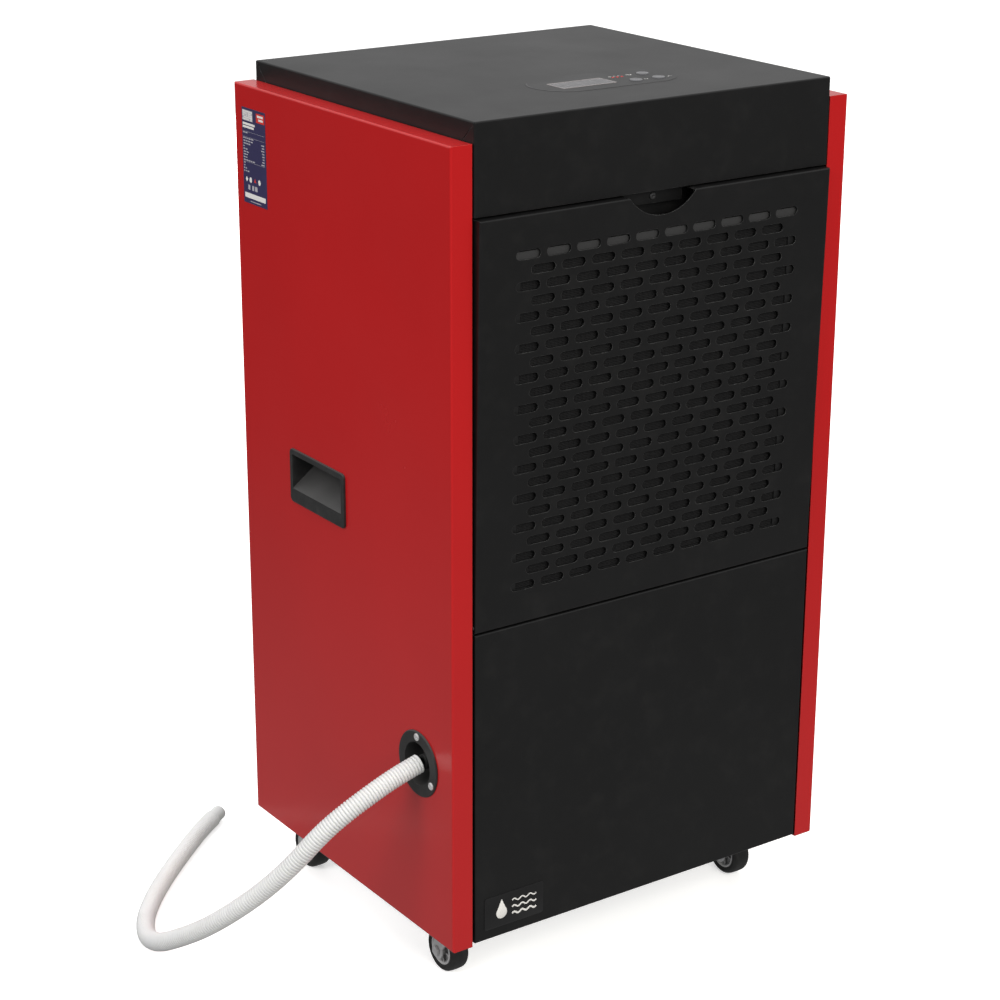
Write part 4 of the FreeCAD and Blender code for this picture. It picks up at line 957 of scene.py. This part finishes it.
def add_fan():
    """Axial wheel with five swept, twisted blades."""
    shape = Shape()
    middle = FRONT + 334.0
    hub = [(6.06, 22), (14, 22), (15, 21), (15, 14), (36, 12.5), (38.5, 13.5), (40, 18), (40, -18),
           (37, -21.5), (30, -22), (6.06, -22)]
    lathe(shape, hub, (0, middle, FAN_Z), Y, 64, closed=True)
    root_r, tip_r = 38, 146
    radial, chord = 12, 14      # faces along and across a blade
    for blade in range(5):
        rows = []
        for i in range(radial + 1):
            t = i / radial
            r = root_r + (tip_r - root_r) * t
            row = []
            half = 0.40 + 0.10 * math.sin(math.pi * t)
            pitch = 18.5 - 6.5 * t
            for j in range(chord + 1):
                s = 2 * j / chord - 1
                a = 2 * math.pi * blade / 5 + 0.42 * t * t + s * half
                if t > 0.85:
                    a -= s * (t - 0.85) * 0.6
                y = middle + s * pitch - 4.0 * (1 - s * s)
                row.append(Vector((r * math.sin(a), y, FAN_Z + r * math.cos(a))))
            rows.append(row)
        verts = []
        for i in range(radial + 1):
            for j in range(chord + 1):
                along = rows[min(i + 1, radial)][j] - rows[max(i - 1, 0)][j]
                round_ = rows[i][min(j + 1, chord)] - rows[i][max(j - 1, 0)]
                normal = along.cross(round_).normalized()
                edge = abs(2 * j / chord - 1)
                thick = 1.25 * (1 - 0.75 * edge ** 4)
                verts += [rows[i][j] + normal * thick, rows[i][j] - normal * thick]
        wide = chord + 1
        faces = []

        def at(i, j, face):
            return 2 * (i * wide + j) + face

        for i in range(radial):
            for j in range(chord):
                faces.append((at(i, j, 0), at(i, j + 1, 0), at(i + 1, j + 1, 0), at(i + 1, j, 0)))
                faces.append((at(i, j, 1), at(i + 1, j, 1), at(i + 1, j + 1, 1), at(i, j + 1, 1)))
            for j, flip in ((0, False), (chord, True)):
                quad = (at(i, j, 0), at(i + 1, j, 0), at(i + 1, j, 1), at(i, j, 1))
                faces.append(quad[::-1] if flip else quad)
        for j in range(chord):
            for i, flip in ((0, True), (radial, False)):
                quad = (at(i, j, 0), at(i, j + 1, 0), at(i, j + 1, 1), at(i, j, 1))
                faces.append(quad if flip else quad[::-1])
        shape.add(verts, faces)
    make_piece(shape, "axial_fan", "fan", [MATERIALS["fan_plastic"]],
               ["fan_wheel"], angle=50)


def add_coil(name, deep):
    """Closely spaced fins between two end plates, with the straight tubes through them."""
    shape = Shape()
    y0, y1 = FRONT + deep - 20, FRONT + deep + 20
    for side in (-1, 1):
        x0, x1 = sorted((side * 173.5, side * 176.5))
        rounded_box(shape, (x0, y0 - 1, 434.7), (x1, y1 + 1, 808.0), 0.4, 1)
    count = 132
    first_fin, fin_span = -171.5, 343
    for k in range(count):
        x = first_fin + fin_span * k / (count - 1) + RNG.uniform(-0.25, 0.25)
        rounded_box(shape, (x - 0.16, y0, 438.7), (x + 0.16, y1, 806.0), 0, 1)
    for k in range(7):
        for z in (479.5 + 46 * k, 504.5 + 46 * k):
            rod_between(shape, (-176.4, FRONT + deep, z), (176.4, FRONT + deep, z), 4.75, 20, mat=1)
    make_piece(shape, name + "_fin_pack", "cabinet", [MATERIALS["fins"], MATERIALS["copper"]],
               [name])


add_guard()
add_fan()
add_coil("evaporator", 56.0)
add_coil("condenser", 112.0)


# --- stage and light ----------------------------------------------------------------
def add_floor():
    """A pale matt floor that shines a little, so that it stays nearly white."""
    mesh = bpy.data.meshes.new("floor")
    size = 150.0
    corners = [(-size, -size, 0), (size, -size, 0), (size, size, 0), (-size, size, 0)]
    mesh.from_pydata(corners, [], [(0, 1, 2, 3)])
    n = Nodes("pale_floor")
    drift = n.remap(n.noise(1.5, 3.0), 0.3, 0.7, 0.0, 1.0)
    n.to("Base Color", n.blend(drift, (0.90, 0.90, 0.90, 1), (0.92, 0.92, 0.92, 1)))
    n.to("Roughness", 0.9)
    n.to("Specular IOR Level", 0.0)
    n.to("Emission Color", (1, 1, 1, 1))
    n.to("Emission Strength", 0.45)
    mesh.materials.append(n.material)
    floor = bpy.data.objects.new("floor", mesh)
    floor.visible_glossy = False
    floor.visible_diffuse = False
    scene.collection.objects.link(floor)


def add_sky():
    """Bright above the horizon and mostly dark below it, but plain white to the camera."""
    world = bpy.data.worlds.new("studio")
    scene.world = world
    world.use_nodes = True
    tree = world.node_tree
    place = tree.nodes.new("ShaderNodeTexCoord")
    split = tree.nodes.new("ShaderNodeSeparateXYZ")
    tree.links.new(place.outputs["Generated"], split.inputs["Vector"])
    span = tree.nodes.new("ShaderNodeMapRange")
    span.inputs["From Min"].default_value = -1.0
    span.inputs["From Max"].default_value = 1.0
    tree.links.new(split.outputs["Z"], span.inputs["Value"])
    ramp = tree.nodes.new("ShaderNodeValToRGB")
    tree.links.new(span.outputs["Result"], ramp.inputs["Fac"])
    stops = ramp.color_ramp.elements
    # height from straight down (0) to straight up (1), and brightness
    levels = ((0.0, 0.36), (0.27, 0.34), (0.315, 0.20), (0.350, 0.05), (0.485, 0.05),
              (0.51, 0.60), (1.0, 0.90))
    stops[0].position, stops[1].position = levels[0][0], levels[-1][0]
    for position, level in levels[1:-1]:
        stops.new(position)
    for stop, (position, level) in zip(stops, levels):
        stop.position = position
        stop.color = (level, level, level, 1.0)
    seen = tree.nodes.new("ShaderNodeLightPath")
    plain = tree.nodes.new("ShaderNodeMix")
    plain.data_type = "RGBA"
    tree.links.new(seen.outputs["Is Camera Ray"], plain.inputs["Factor"])
    tree.links.new(ramp.outputs["Color"], plain.inputs[6])
    plain.inputs[7].default_value = (1.0, 1.0, 1.0, 1.0)
    tree.links.new(plain.outputs[2], tree.nodes["Background"].inputs["Color"])
    tree.nodes["Background"].inputs["Strength"].default_value = 1.0


def add_lamp(name, place, size, power, tint):
    """A soft box aimed at the middle of the object, not seen in reflections."""
    data = bpy.data.lights.new(name, "AREA")
    data.shape = "RECTANGLE"
    data.size, data.size_y = size
    data.energy = power
    data.color = tint
    lamp = bpy.data.objects.new(name, data)
    lamp.location = place
    lamp.visible_glossy = False
    aim = Vector((0, 0, 0.5)) - Vector(place)
    lamp.rotation_euler = aim.to_track_quat("-Z", "Y").to_euler()
    scene.collection.objects.link(lamp)


add_floor()
add_sky()
add_lamp("front_box", (-0.4, -4.2, 2.6), (3.0, 2.4), 170.0, (1.0, 0.97, 0.90))
add_lamp("left_box", (-4.0, -0.6, 2.9), (2.6, 2.2), 110.0, (1.0, 0.98, 0.96))
add_lamp("top_box", (0.3, 0.6, 4.0), (2.4, 2.4), 40.0, (1.0, 1.0, 1.0))
add_lamp("rear_box", (1.8, 4.2, 0.9), (2.6, 1.4), 90.0, (1.0, 0.98, 0.96))
